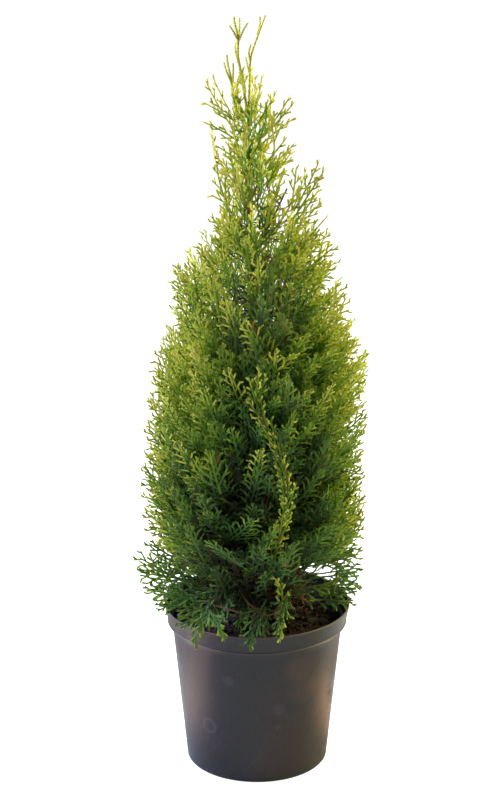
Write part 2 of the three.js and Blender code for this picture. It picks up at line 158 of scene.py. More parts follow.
# Tiers of the crown, from the soil up: name, height at the trunk, slope and bend of the lower
# bowl, number of masses, azimuth of the first, whether they have boughs, where the foliage starts
# and where its dense part ends as parts of the reach. Then come the bowl over the last tier, the
# widest half sector, and the skirt's masses: azimuth, half sector, and whether they hang.
BEND = 0.004
TIERS = [
    ("skirt", 4, 0, 0, 7, None, True, 0.4, 0),
    ("low", 30, 0.05, BEND, 5, 270, True, 0.34, 0.62),
    ("belly", 100, 0.15, BEND, 5, 278, False, 0.3, 0.62),
    ("waist", 165, 0.3, BEND, 5, 242, False, 0.3, 0.62),
    ("shoulder", 232, 0.45, BEND, 4, 270, False, 0.3, 0.62),
    ("upper", 318, 0.65, BEND, 4, 225, False, 0.3, 0.6),
    ("neck", 404, 0.9, BEND, 4, 0, False, 0.3, 0.58),
    ("throat", 490, 1, BEND, 3, 0, False, 0.3, 0.54),
    ("tuft", 600, 1.1, BEND, 3, 300, False, 0.3, 0),
    ("leader", 735, 1.4, BEND, 1, 180, False, 0.4, 0),
]
CROWN_TOP = (797, 1, 0)
LEADER_SECTOR = 75
SKIRT = [
    (346, 16, False), (286, 13, False), (258, 14, True), (226, 17, False), (188, 20, False),
    (134, 24, False), (86, 20, False),
]

# How much further a hanging mass reaches, as a part; the crown's widest reach, the part of it that
# is the first guess of a radius, and the number of half steps from there; how low foliage may go
# outside the rim; and how far it may pass the reach and the box, and has to clear soil and rim.
HANG = 0.26
WIDEST = 155
RADIUS_GUESS = 0.6
HALF_STEPS = 8
OUTSIDE_LOWEST = -2
REACH_SLACK = 8
BOX_SLACK = 5
RIM_GAP = 2.5

# Shares of a whole turn, or of one, by which things step on so that they never line up.
GOLDEN = 0.618
GOLDEN_LESS = 0.382
GOLDEN_TURN = 137.5

# Sprays: how steeply they climb at each height, how long they are there, by how much azimuth,
# climb, length, curl and breadth vary, and the number of places along an axis.
CLIMB = np.array([
    [-10, -8], [30, 4], [90, 26], [200, 42], [400, 52], [560, 59], [640, 63], [720, 67], [830, 80],
], float)
SPRAY_LENGTH = np.array([
    [-10, 78], [60, 96], [300, 100], [420, 90], [540, 74], [640, 60], [740, 50], [830, 30],
], float)
STEEPEST_COS = 0.25
AZIMUTH_VARIES = 12
CLIMB_VARIES = 9
LENGTH_VARIES = (0.72, 1.12)
CURL = (2, 20)
BREADTH = (0.5, 0.85)
STATIONS = 7

# By how much sprays climb more steeply in front and on the left, and the height that parts the
# low foliage from the rest.
FRONT_RISE = 10
LEFT_RISE = 7
LOW_FRONT = 230

# Tones of sprays: one at each height; what the sides add as painted light, and the front and back
# lose as painted shade; what the tuft and the way to the tip add; what the low front may have at
# most, a cap of painted shade; the height under which hollows darken sprays, and their depth per
# tone, as painted shade; and the share of tips gone brown.
SPRAY_TONE = np.array([
    [-10, 0.6], [60, 0.65], [120, 0.9], [250, 1.3], [400, 2.0], [520, 2.7], [650, 3.85],
    [740, 4.9], [830, 5.3],
], float)
SIDE_PAINTED_LIGHT = 2.0
TUFT_TONE = 0.5
TONE_RISE = 1.4
LOW_FRONT_TONE = 2.4
LOW_SIDE_TONE = 3
NO_LIMIT = 9
HOLLOW_TOP = 530
HOLLOW_PER_TONE = 34
RUST_SHARE = np.array([[400, 0.005], [600, 0.03]])

# Shoots: how close side shoots and scaly shoots stand, how much further apart on the sunny left
# and on the far side, how much steeper they are high up, how wide they are, the share of its side
# shoots that a spray must keep to be shown, and the degrees by which its plane is wrung.
SIDE_SHOOT_GAP = np.array([[-10, 8.6], [300, 8.0], [560, 8.8], [700, 12], [830, 14]], float)
SCALE_SHOOT_GAP = np.array([[-10, 5.3], [110, 5.5], [220, 6.2], [600, 6.4], [740, 7.2]], float)
SUNNY_OPENING = 0.35
FAR_OPENING = 0.2
UPSWEPT = np.array([[560, 1.0], [700, 0.76]])
SHOOT_WIDTH = np.array([
    [-10, 2.65], [200, 2.5], [400, 2.4], [560, 2.4], [680, 2.35], [830, 2.4],
], float)
LEAFY_SHARE = 0.6
MOST_SCALE_SHOOTS = 8
WRING = (16, 40)

# Layers of sprays in a mass: how close they stand, where their tips lie as parts of the reach, by
# how much they climb more steeply, and by how many tones they differ, the deeper layers darker as
# painted shade of the crown's inside. They are reckoned for a face that is a little taller than
# the cell's, and keep to a share of its sector.
FACE_MORE = 12
SECTOR_SHARE = 0.98
LAYERS = [
    (35, 0.94, 1.04, -2, 1.2), (29, 0.78, 0.93, 0, 0.4), (32, 0.52, 0.76, 8, -0.8),
    (38, 0.22, 0.5, 20, -1.9),
]
NECK_LAYERS = [(43, 0.88, 0.99, 0, 0.8), (44, 0.62, 0.84, 4, -0.1), (48, 0.3, 0.6, 16, -1.1)]
LAYERS_OF = {
    "skirt": [(60, 0.42, 0.72, 0, -1.0)],
    "upper": [
        (41, 0.93, 1.03, -2, 1.1), (38, 0.74, 0.9, 0, 0.2), (40, 0.45, 0.7, 8, -1.0),
        (46, 0.22, 0.42, 20, -2.0),
    ],
    "neck": NECK_LAYERS,
    "throat": NECK_LAYERS,
    "tuft": [(38, 0.28, 0.52, 12, 0.3), (42, 0.05, 0.28, 18, -0.2)],
}

# Hollows of the crown's face: azimuth, height, how deep, half width, half height; sprays low in
# them are also darker by their depth, as painted shade. The listed places of painted shade have
# tones in place of a depth, and the one with a negative tone is painted light.
HOLLOWS = [
    (180, 596, 16, 60, 50), (0, 622, 34, 34, 48), (258, 220, 50, 12, 130), (263, 378, 42, 15, 58),
    (287, 245, 44, 8, 90), (300, 205, 44, 13, 80), (312, 488, 30, 20, 44),
]
PAINTED_SHADE_AND_LIGHT_SPOTS = [
    (316, 250, 1.2, 26, 130), (288, 490, 0.9, 40, 70), (222, 240, 0.8, 18, 70),
    (262, 319, -0.8, 12, 40), (233, 160, 2.4, 18, 45), (312, 430, 1.1, 30, 60),
    (314, 90, 0.8, 40, 90), (262, 15, 0.7, 70, 50),
]

# How sprays turn their flat sides: the sprays of the skirt lie half flat, the others stand upright
# within a spread, turned further in front. Most sprays in front turn away from the middle, and on
# the shown side a spray turns no more than so many degrees from where it looks broadest along
# FRONT, a line from front to back that falls a little.
SKIRT_LAY = 55
SKIRT_SPREAD = 30
SPREAD = 46
FRONT_FACING = 40
PARTED_FROM = -0.2
PARTED_SHARE = 0.9
SHOWN_TO = 0.75
FRONT = (0, 0.954, -0.3)
LEAST_FACE = np.array([[-10, 58], [560, 58], [640, 34], [830, 34]], float)

# Sprays that give the plant its face: the mass that each belongs to, its root, its tip, how far
# its plane turns from the upright one through the trunk, its breadth, its tone and its curl.
SET_SPRAYS = [
    ("tuft_3", (-30, 2, 672), (-69, -6, 748), 8, 0.49, 4.3, 14),
    ("tuft_3", (-36, 4, 698), (-60, 8, 750), -24, 0.33, 4.2, 10),
    ("tuft_3", (-28, -4, 688), (-74, 6, 713), -10, 0.49, 4.2, -6),
    ("tuft_3", (-24, 4, 662), (-75, -8, 690), 12, 0.49, 4.0, -16),
    ("tuft_3", (-18, -4, 632), (-58, -8, 660), 30, 0.53, 3.9, -14),
    ("tuft_3", (-20, 4, 604), (-56, 6, 643), -20, 0.49, 3.7, -10),
    ("tuft_3", (-18, -6, 602), (-50, -8, 626), 15, 0.49, 3.6, -10),
    ("tuft_1", (-4, -4, 690), (6, -6, 752), 40, 0.37, 4.4, 6),
    ("tuft_2", (0, 6, 680), (26, 8, 729), -30, 0.36, 4.3, 16),
    ("tuft_1", (4, -4, 664), (43, -8, 725), 14, 0.45, 4.3, 18),
    ("tuft_2", (8, 4, 666), (50, 8, 714), -14, 0.41, 4.3, 8),
    ("tuft_1", (6, -2, 660), (53, -2, 696), 24, 0.41, 4.2, -6),
    ("tuft_1", (8, -4, 620), (51, -6, 664), 24, 0.45, 4.2, 12),
    ("tuft_2", (10, 4, 630), (40, 8, 668), -20, 0.37, 4.2, 6),
    ("tuft_2", (8, -6, 622), (49, -10, 641), 20, 0.45, 4.0, -16),
    ("throat_1", (42, 0, 558), (82, -6, 643), 6, 0.41, 4.4, 12),
    ("throat_1", (46, -8, 560), (90, -12, 632), -16, 0.41, 4.5, 0),
    ("throat_1", (44, 6, 562), (65, 10, 630), 22, 0.37, 4.3, 4),
    ("throat_1", (44, 4, 544), (83, 8, 602), -30, 0.53, 4.3, 10),
    ("throat_1", (42, -6, 538), (87, -12, 590), 26, 0.57, 4.3, 4),
    ("neck_1", (42, -2, 508), (95, -4, 569), -20, 0.75, 4.3, 8),
    ("neck_1", (44, 6, 492), (98, 10, 544), 24, 0.75, 4.3, 4),
    ("neck_1", (46, -8, 478), (103, -12, 528), -12, 0.8, 4.2, 6),
    ("upper_3", (48, 2, 456), (107, 4, 505), 16, 0.8, 4.2, 8),
    ("upper_2", (58, -4, 400), (115, -6, 474), -24, 0.8, 4.2, 10),
    ("throat_3", (-14, -4, 538), (-45, -6, 588), 20, 0.49, 3.8, 6),
    ("throat_2", (-18, 2, 518), (-65, 4, 566), -14, 0.57, 3.8, 6),
    ("neck_3", (-24, -8, 496), (-63, -14, 541), 30, 0.7, 3.7, 4),
    ("neck_3", (-30, 4, 474), (-84, 6, 527), -20, 0.75, 3.8, 10),
    ("neck_3", (-46, -4, 444), (-96, -6, 508), 18, 0.8, 3.8, 8),
    ("upper_4", (-58, 4, 426), (-118, 6, 478), -16, 0.8, 3.8, 10),
    ("upper_1", (-54, -10, 440), (-101, -16, 496), 26, 0.8, 3.8, 6),
    ("skirt_4", (-58, -92, 68), (-84, -122, 4), 55, 0.6, 2.2, -50),
    ("skirt_3", (-66, -104, 58), (-42, -138, 20), -60, 0.55, 2.5, -40),
    ("skirt_3", (-30, -60, 70), (-52, -113, 24), -52, 0.85, 1.5, -30),
    ("skirt_3", (-12, -64, 76), (-26, -119, 28), 52, 0.85, 1.3, -30),
    ("skirt_4", (-50, -56, 66), (-86, -97, 20), 50, 0.85, 1.6, -24),
    ("skirt_3", (2, -60, 60), (4, -113, 22), -55, 0.85, 1.2, -30),
    ("skirt_4", (-46, -70, 84), (-68, -119, 32), 50, 0.85, 1.7, -30),
    ("skirt_3", (10, -100, 70), (-11, -138, 8), 60, 0.85, 1.5, -50),
    ("skirt_2", (42, -104, 84), (25, -137, 26), 60, 0.5, 1.6, -54),
    ("skirt_2", (37, -106, 46), (18, -114, 106), -28, 0.42, 3.6, -75),
    ("skirt_2", (36, -106, 62), (30, -134, 16), 58, 0.45, 3.4, -34),
    ("skirt_5", (-80, -34, 52), (-168, -16, 97), 34, 0.95, 2.4, 6),
    ("skirt_5", (-82, -22, 60), (-164, -28, 76), 40, 0.95, 2.6, 2),
    ("skirt_5", (-76, -44, 62), (-148, -44, 90), 30, 0.9, 2.3, 4),
    ("skirt_4", (-70, -60, 54), (-146, -58, 56), 46, 0.95, 2.4, -6),
    ("skirt_5", (-76, -52, 44), (-157, -40, 56), 46, 0.9, 2.1, -10),
    ("skirt_5", (-70, -30, 72), (-153, -22, 120), 24, 0.8, 2.4, 8),
    ("skirt_4", (-72, -70, 42), (-138, -72, 44), 52, 0.9, 2.2, -8),
    ("skirt_4", (-56, -74, 40), (-108, -106, 28), 60, 0.9, 2.0, -20),
    ("skirt_1", (70, -8, 46), (144, 8, 42), -44, 0.95, 1.5, -6),
    ("skirt_1", (72, 6, 52), (144, 16, 58), -40, 0.95, 1.8, 4),
    ("skirt_1", (74, -20, 44), (140, -22, 48), -44, 0.95, 1.4, 2),
    ("skirt_1", (66, -26, 36), (136, -38, 34), -52, 0.8, 1.3, -10),
    ("low_2", (62, 8, 66), (148, 18, 86), -50, 0.8, 2.4, 10),
    ("low_2", (60, -12, 78), (142, -20, 112), -34, 0.9, 2.6, 14),
    ("low_2", (66, 20, 50), (150, 34, 58), -52, 0.8, 2.0, 4),
    ("low_2", (40, -60, 60), (112, -86, 88), -40, 0.8, 2.3, 10),
]

# A bare twig that bends over the soil to the bright shoots at the front, its radii at root and
# tip, and the mass that it belongs to.
BENT_TWIG = [
    (-14, -34, 58), (-21, -74, 66), (-13, -100, 62), (-2, -107, 55), (8, -111, 49), (17, -112, 48),
    (25, -111, 53), (31, -109, 60), (36, -106, 63),
]
BENT_TWIG_RADII = (1.7, 1.0)
BENT_MASS = "skirt_3"

# The upright plume in front: points of its spine from the foot up, the number of its sprays, how
# long they are, how far they lean to either side, the masses that they belong to, the range of
# their tones, their curl, and their breadth, which the collar's sprays share.
PLUME_SPINE = [
    (14, -112, 112), (27, -124, 158), (37, -132, 205), (37, -136, 250), (25, -136, 285),
    (10, -134, 322), (-2, -130, 352), (6, -126, 392),
]
PLUME_SPRAYS = 24
PLUME_LENGTH = 42
PLUME_LEAN = 0.17
PLUME_MASSES = ["belly_1", "waist_2", "shoulder_1"]
PLUME_TONES = (3.2, 4.2)
PLUME_CURL = 8
ROW_BREADTH = 0.5

# The collar of short sprays close round the trunk's upper part: how many, the heights of the
# lowest and the highest tip, how far out they reach and climb, how they twist, the range of their
# tones, and their curl.
COLLAR_SPRAYS = 26
COLLAR_HEIGHTS = (628, 742)
COLLAR_REACH = 27
COLLAR_CLIMB = 46
COLLAR_TWIST = 70
COLLAR_TONES = (3.3, 4.1)
COLLAR_CURL = 10

# The left leader and the small shoots of both leaders, as points of their paths, and their widths.
LEADER_SHOOTS = [
    ([(-12, 0, 690), (-17, 0, 725), (-22, 0, 754), (-25, 0, 772), (-25, 0, 796), (-29, -1, 812),
      (-30, -1, 822)], 4.1),
    ([(-25, 0, 786), (-23, 2, 805), (-23, 3, 820)], 3.0),
    ([(-24, 0, 790), (-18, -2, 804), (-12, -3, 814)], 2.9),
    ([(-26, 0, 793), (-31, -2, 803), (-36, -3, 810)], 3.0),
    ([(-24, 0, 762), (-28, 2, 776), (-28, 3, 788)], 2.7),
    ([(0, 0, 798), (3, 2, 811), (3, 3, 821)], 2.9),
    ([(-9, 0, 764), (-11, -2, 776), (-8, -3, 787)], 2.9),
    ([(-10, 0, 748), (-13, 2, 760), (-15, 3, 770)], 2.7),
    ([(-24, 2, 690), (-31, 2, 718), (-34, 2, 743), (-38, 2, 761), (-39, 2, 773)], 3.7),
    ([(-33, 2, 736), (-40, 3, 752), (-43, 4, 763)], 2.9),
    ([(-32, 2, 732), (-31, 0, 750), (-31, -1, 763)], 2.9),
    ([(-20, -2, 696), (-26, -3, 722), (-26, -3, 736), (-23, -3, 748)], 3.2),
]

# Tones of the foliage by number, from the shaded inside to the pale tips and the dead ones, and
# those of the wood.
SHADE, FRESH, PALE, RUST = 0, 3, 5, 6
BARK, RED_TWIG, GREEN_SHOOT, PALE_SHOOT = range(4)


def lerp(a, b, share):
    """The value at a share of the way from a to b."""
    return a + (b - a) * share


def cos_of(degrees):
    """The cosine of an angle in degrees."""
    return np.cos(np.radians(degrees))


def sin_of(degrees):
    """The sine of an angle in degrees."""
    return np.sin(np.radians(degrees))


def at_height(table, height):
    """A value at a height, straight between the rows (height, value) of a table."""
    return np.interp(height, table[:, 0], table[:, 1])


def bearing(places):
    """The azimuth of places round the pot's axis, in degrees from -180 to 180."""
    return np.degrees(np.arctan2(places[..., 1], places[..., 0]))


def either(rng, count, share=0.5):
    """1 for about a share of all, and -1 for the rest."""
    return np.where(rng.random(count) < share, 1.0, -1.0)


def unit(vectors):
    """Vectors along their last axis, each divided by its length."""
    return vectors / np.maximum(np.linalg.norm(vectors, axis=-1, keepdims=True), 1e-9)


def square_to(vectors, along):
    """What is left of each vector once its part along another is taken away, made unit length."""
    return unit(vectors - np.sum(vectors * along, axis=-1, keepdims=True) * along)


def ripple(places, size, seed, waves):
    """Soft seeded relief from -1 to 1: the mean of plane waves of about one length in many
    directions, times a factor that brings its peaks near 1."""
    rng = np.random.default_rng(seed)
    directions = unit(rng.normal(size=(waves, places.shape[-1])))
    lengths = size * rng.uniform(0.6, 1.6, waves)
    phases = rng.uniform(0, 2 * math.pi, waves)
    turns = places @ (directions / lengths[:, None]).T * 2 * math.pi + phases
    return np.clip(np.cos(turns).mean(axis=-1) * 2.2, -1, 1)


# ---- Space of the crown -------------------------------------------------------------------


def trunk_at(height):
    """The trunk's axis at a height, straight between its points."""
    height = np.asarray(height, float)
    x = np.interp(height, TRUNK_AXIS[:, 2], TRUNK_AXIS[:, 0])
    y = np.interp(height, TRUNK_AXIS[:, 2], TRUNK_AXIS[:, 1])
    return np.stack([x, y, height], axis=-1)


def swelling(azimuth, height, spots, ground=0):
    """A ground with a rounded swelling for each spot, (azimuth, height, how high, half width, half
    height): how high * (1 - (turn / half width) ** 2 - (rise / half height) ** 2), above 0."""
    for middle, level, high, wide, tall in spots:
        turn = (azimuth - middle + 540) % 360 - 180
        ground = ground + high * np.maximum(
            0, 1 - (turn / wide) ** 2 - ((height - level) / tall) ** 2)
    return ground


def reach(azimuth, height):
    """How far the crown reaches from the pot's axis: the outline's radius, shifted towards its
    centre, plus a rounded swelling for each lobe."""
    radius = np.interp(height, OUTLINE[:, 0], OUTLINE[:, 1])
    radius = radius + np.interp(height, OUTLINE[:, 0], OUTLINE[:, 2]) * cos_of(azimuth)
    return swelling(azimuth, height, LOBES, radius)


def lowest(radius):
    """The lowest that foliage goes: over the soil, over the rim, and a little down outside it."""
    over_soil = radius < BODY_TOP_RADIUS - RIM_GAP
    over_rim = radius < RIM_RADIUS + RIM_GAP
    outside = np.where(over_rim, SOIL_DROP + RIM_GAP, OUTSIDE_LOWEST)
    return np.where(over_soil, SOIL_MOUND + RIM_GAP, outside)


def place_in(cell, g, f, d):
    """A place in a cell: g runs across its sector and f up from bowl to bowl, both from -1 to 1,
    and d runs out to the reach. The radius is found by half steps."""
    g, f, d = np.broadcast_arrays(*(np.asarray(x, float) for x in (g, f, d)))
    azimuth = cell["azimuth"] + g * cell["half_width"]
    share = (f + 1) / 2
    height, slope, bend = (
        lerp(low, high, share) for low, high in zip(cell["below"], cell["above"]))
    radius = RADIUS_GUESS * d * WIDEST
    for _ in range(HALF_STEPS):
        level = height + slope * radius + bend * radius ** 2
        radius = lerp(radius, d * reach(azimuth, level), 0.5)
    level = np.maximum(height + slope * radius + bend * radius ** 2, lowest(radius) + 1)
    return np.stack([radius * cos_of(azimuth), radius * sin_of(azimuth), level], axis=-1)


def make_cells():
    """The cells of all tiers, each with its name, its two bowls and its sector."""
    cells = []
    for level, (tier, height, slope, bend, masses, turn, bough, inner, core) in enumerate(TIERS):
        above = TIERS[level + 1][1:4] if level + 1 < len(TIERS) else CROWN_TOP
        half_width = min(180 / masses, LEADER_SECTOR)
        ring = SKIRT if turn is None else [
            (turn + i * 360 / masses, half_width, False) for i in range(masses)]
        for index, (azimuth, half, hangs) in enumerate(ring):
            cells.append({
                "name": f"{tier}_{index + 1}", "tier": tier, "index": index, "level": level,
                "below": (height, slope, bend), "above": above, "azimuth": azimuth,
                "half_width": half, "hangs": hangs, "bough": bough, "inner": inner, "core": core,
            })
    return cells


def smooth_path(points, count):
    """A path through points by the Catmull-Rom rule, with the same length from place to place."""
    points = np.asarray(points, float)
    ends = np.vstack([2 * points[0] - points[1], points, 2 * points[-1] - points[-2]])
    t = np.linspace(0, len(points) - 1 - 1e-9, 40 * len(points))
    span = t.astype(int)
    u = (t - span)[:, None]
    a, b, c, d = (ends[span + k] for k in range(4))
    line = 0.5 * (2 * b + (c - a) * u + (2 * a - 5 * b + 4 * c - d) * u ** 2
                  + (3 * b - a - 3 * c + d) * u ** 3)
    run = np.concatenate([[0], np.cumsum(np.linalg.norm(np.diff(line, axis=0), axis=1))])
    want = np.linspace(0, run[-1], count)
    return np.stack([np.interp(want, run, line[:, k]) for k in range(3)], axis=-1)


def cell_path(cell, count=61):
    """The way from the trunk out through a cell, which the bough and then the stem follow."""
    inner, core = cell["inner"], cell["core"]
    out = core - 0.1 if core > 0 else inner + 0.14 + (HANG if cell["hangs"] else 0)
    rise = lerp(0.15, 0.8, (cell["index"] * GOLDEN_LESS) % 1)
    foot = trunk_at(lerp(cell["below"][0], cell["above"][0], rise))
    first = place_in(cell, 0, -0.1, inner)
    return smooth_path([
        foot, lerp(foot, first, 0.55) + [0, 0, -2], first,
        place_in(cell, 0.08, 0, (inner + out) / 2), place_in(cell, -0.05, 0.15, out),
    ], count)


def bough_end(cell, path):
    """The place along a path at which its bough ends: the one nearest to the mass's inner edge."""
    edge = place_in(cell, 0, -0.1, cell["inner"])
    return int(np.argmin(np.linalg.norm(path - edge, axis=1)))


# ---- Meshes -------------------------------------------------------------------------------


def put_mesh(name, points, faces, finishes, tones=None, smooth=False):
    """A piece from points in millimetres above the ground and triangles, each with the finish
    that its tone names."""
    mesh = bpy.data.meshes.new(name)
    mesh.vertices.add(len(points))
    mesh.vertices.foreach_set("co", (points * MM).astype(np.float32).ravel())
    mesh.loops.add(faces.size)
    mesh.loops.foreach_set("vertex_index", faces.astype(np.int32).ravel())
    mesh.polygons.add(len(faces))
    sides = faces.shape[1]
    mesh.polygons.foreach_set("loop_start", np.arange(0, faces.size, sides, dtype=np.int32))
    for finish in finishes:
        mesh.materials.append(finish)
    if tones is not None:
        mesh.polygons.foreach_set("material_index", tones.astype(np.int32))
    mesh.polygons.foreach_set("use_smooth", np.full(len(faces), smooth))
    mesh.update(calc_edges=True)
    piece = bpy.data.objects.new(name, mesh)
    bpy.context.scene.collection.objects.link(piece)
    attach(piece, "root")
    return piece


def angles_round(sides):
    """The angles of the corners of a ring, in radians."""
    return np.arange(sides) * 2 * math.pi / sides


def ring_faces(rings, sides):
    """Triangles over rings of points that follow each other. The first ring closes in the point
    that comes after all rings, and the last ring in the point after that."""
    ring, side = np.meshgrid(np.arange(rings - 1), np.arange(sides), indexing="ij")
    a = (ring * sides + side).ravel()
    b = (ring * sides + (side + 1) % sides).ravel()
    k = np.arange(sides)
    last = (rings - 1) * sides
    start = np.full(sides, rings * sides)
    return np.concatenate([
        np.stack([a, b, b + sides], 1), np.stack([a, b + sides, a + sides], 1),
        np.stack([(k + 1) % sides, k, start], 1),
        np.stack([last + k, last + (k + 1) % sides, start + 1], 1)])


def tube(path, radii, sides, relief=None):
    """A closed tube along a path: ring j is the circle of radius radii[j] square to the path, and
    relief(angle, run) is added to that radius. Each end closes in a point. Gives points and
    triangles."""
    along = unit(np.gradient(path, axis=0))
    across = unit(np.stack([along[:, 2], np.zeros(len(path)), -along[:, 0]], axis=-1))
    over = np.cross(along, across)
    angle = angles_round(sides)
    run = np.concatenate([[0], np.cumsum(np.linalg.norm(np.diff(path, axis=0), axis=1))])
    radius = np.repeat(np.asarray(radii, float)[:, None], sides, axis=1)
    if relief is not None:
        radius = radius + relief(angle[None, :], run[:, None])
    rings = (path[:, None] + radius[..., None] * (
        np.cos(angle)[None, :, None] * across[:, None]
        + np.sin(angle)[None, :, None] * over[:, None]))
    points = np.vstack([rings.reshape(-1, 3), path[:1], path[-1:]])
    return points, ring_faces(len(path), sides)


# A shoot's thickness as a part of its width, and how far apart the corners of a three-sided ring
# of radius 1 lie.
SHOOT_THICKNESS = 0.6
CORNERS_APART = 1.732


def shoots(paths, normals, widths, tones, tip_tones):
    """Three-sided shoots along n paths of m places: ring j has its corners at 90, 210 and 330
    degrees round the path, as wide as widths[j] across the spray and SHOOT_THICKNESS of that
    through it, and the last place is the pointed tip. The tip takes its own tone, and so does the
    band before it on a shoot of more than three places. Gives points, triangles and tones."""
    count, places = paths.shape[:2]
    along = unit(np.gradient(paths, axis=1))
    over = square_to(normals, along)
    across = np.cross(over, along)
    angle = np.radians([90, 210, 330])
    radii = widths[:, :-1, None, None] / CORNERS_APART
    rings = paths[:, :-1, None] + radii * (
        np.cos(angle)[None, None, :, None] * across[:, :-1, None]
        + SHOOT_THICKNESS * np.sin(angle)[None, None, :, None] * over[:, :-1, None])
    points = np.concatenate([rings.reshape(count, -1, 3), paths[:, -1:]], axis=1)
    ring, side = np.meshgrid(np.arange(places - 2), np.arange(3), indexing="ij")
    a = (ring * 3 + side).ravel()
    b = (ring * 3 + (side + 1) % 3).ravel()
    last = 3 * (places - 2)
    tip = 3 * (places - 1)
    faces = np.concatenate([
        np.stack([a, b, b + 3], 1), np.stack([a, b + 3, a + 3], 1),
        [[last, last + 1, tip], [last + 1, last + 2, tip], [last + 2, last, tip], [0, 2, 1]]])
    is_tip = np.concatenate([np.tile(ring.ravel() == places - 3, 2) & (places > 3), [1, 1, 1, 0]])
    tone = np.where(is_tip[None, :] > 0, tip_tones[:, None], tones[:, None])
    offset = np.arange(count)[:, None, None] * points.shape[1]
    return points.reshape(-1, 3), (faces[None] + offset).reshape(-1, 3), tone.ravel()


def joined(parts):
    """Several lots of points, triangles and tones as one."""
    starts = np.cumsum([0] + [len(part[0]) for part in parts[:-1]])
    return (
        np.vstack([part[0] for part in parts]),
        np.vstack([part[1] + start for part, start in zip(parts, starts)]),
        np.concatenate([part[2] for part in parts]),
    )


# ---- Sprays -------------------------------------------------------------------------------


def along_axes(axes, share):
    """The places at shares of the length of each axis: (n, k, 3) from (n, m, 3) and (n, k)."""
    at = np.clip(share, 0, 1 - 1e-6) * (axes.shape[1] - 1)
    low = at.astype(int)
    rows = np.arange(len(axes))[:, None]
    return lerp(axes[rows, low], axes[rows, low + 1], (at - low)[..., None])


def spray_axes(tips, azimuth, climb, curl, length):
    """Axes of sprays, (n, 7, 3): the direction at share s of the length climbs at climb + curl *
    (s - 0.6) degrees, and the steps are summed and moved so that the last place is the tip."""
    share = (np.arange(STATIONS - 1) + 0.5) / (STATIONS - 1)
    rise = climb[:, None] + curl[:, None] * (share - 0.6)
    heading = azimuth[:, None] + np.zeros_like(rise)
    steps = np.stack([
        cos_of(rise) * cos_of(heading), cos_of(rise) * sin_of(heading), sin_of(rise)], axis=-1)
    steps = steps * (length / (STATIONS - 1))[:, None, None]
    line = np.concatenate([np.zeros((len(tips), 1, 3)), np.cumsum(steps, axis=1)], axis=1)
    return line - line[:, -1:] + tips[:, None]


def side_paths(start, along, across, over, side, angle, curl, cup, length, shares):
    """Shoots that leave an axis: at share s of its length a shoot runs at angle - curl * s from
    the axis, towards one side, and leans out of the spray's plane by cup * s."""
    shares = np.asarray(shares, float)
    middle = (shares[1:] + shares[:-1]) / 2
    turn = angle[..., None] - curl * middle
    steps = (cos_of(turn)[..., None] * along[..., None, :]
             + (side[..., None] * sin_of(turn))[..., None] * across[..., None, :]
             + (cup[..., None] * middle)[..., None] * over[..., None, :])
    steps = steps * (np.diff(shares) * length[..., None])[..., None]
    line = np.concatenate([np.zeros_like(steps[..., :1, :]), np.cumsum(steps, axis=-2)], axis=-2)
    return start[..., None, :] + line


def allowed(places):
    """Whether places lie within the crown's reach, over soil and rim, and outside the windows."""
    radius = np.hypot(places[..., 0], places[..., 1])
    height = places[..., 2]
    boxed = np.all((places > BOX_LOW - BOX_SLACK) & (places < BOX_HIGH + BOX_SLACK), axis=-1)
    near = radius < reach(bearing(places), height) + REACH_SLACK
    return near & boxed & (height > lowest(radius)) & ~in_window(places)


def in_window(places):
    """Whether places lie in one of the openings that sight passes through under the crown."""
    inside = np.zeros(places.shape[:-1], bool)
    for x, height, wide, tall, fall in WINDOWS:
        level = height + fall * places[..., 1]
        inside |= (((places[..., 0] - x) / wide) ** 2 + ((places[..., 2] - level) / tall) ** 2) < 1
    return inside


# Side shoots: the first one and the span of them all along the axis, their angles to it at root
# and tip and how those vary, how long the longest are against the spray and how that varies, what
# is added to each, how spray and shoot dish out of the plane, and the shares of a shoot's places.
SIDE_FIRST, SIDE_SPAN = 0.05, 0.85
SIDE_ANGLES = (45, 31)
SIDE_WANDER = 5
SIDE_LENGTH = 0.46
SIDE_VARIES = (0.75, 1.15)
SIDE_LEAST = 5
SIDE_CURL = 3
DISH = (0.02, 0.13)
DISH_SHARE = 0.7
CUP = 0.04
SIDE_PLACES = (0, 0.45, 0.9, 1)

# Scaly shoots: the same along a side shoot, and how long those on its two sides are against each
# other. Last, how far a shoot may lie from its even place, as parts of the gap.
SCALE_FIRST, SCALE_SPAN = 0.1, 0.7
SCALE_ANGLE = 37
SCALE_WANDER = 4
SCALE_LENGTH = 0.32
SCALE_VARIES = (0.75, 1.2)
SCALE_LEAST = 6.2
SCALE_CURL = 2
SCALE_PLACES = (0, 0.8, 1)
FORWARD, BACKWARD = 1.15, 0.9
JITTER = (0.3, 0.7)


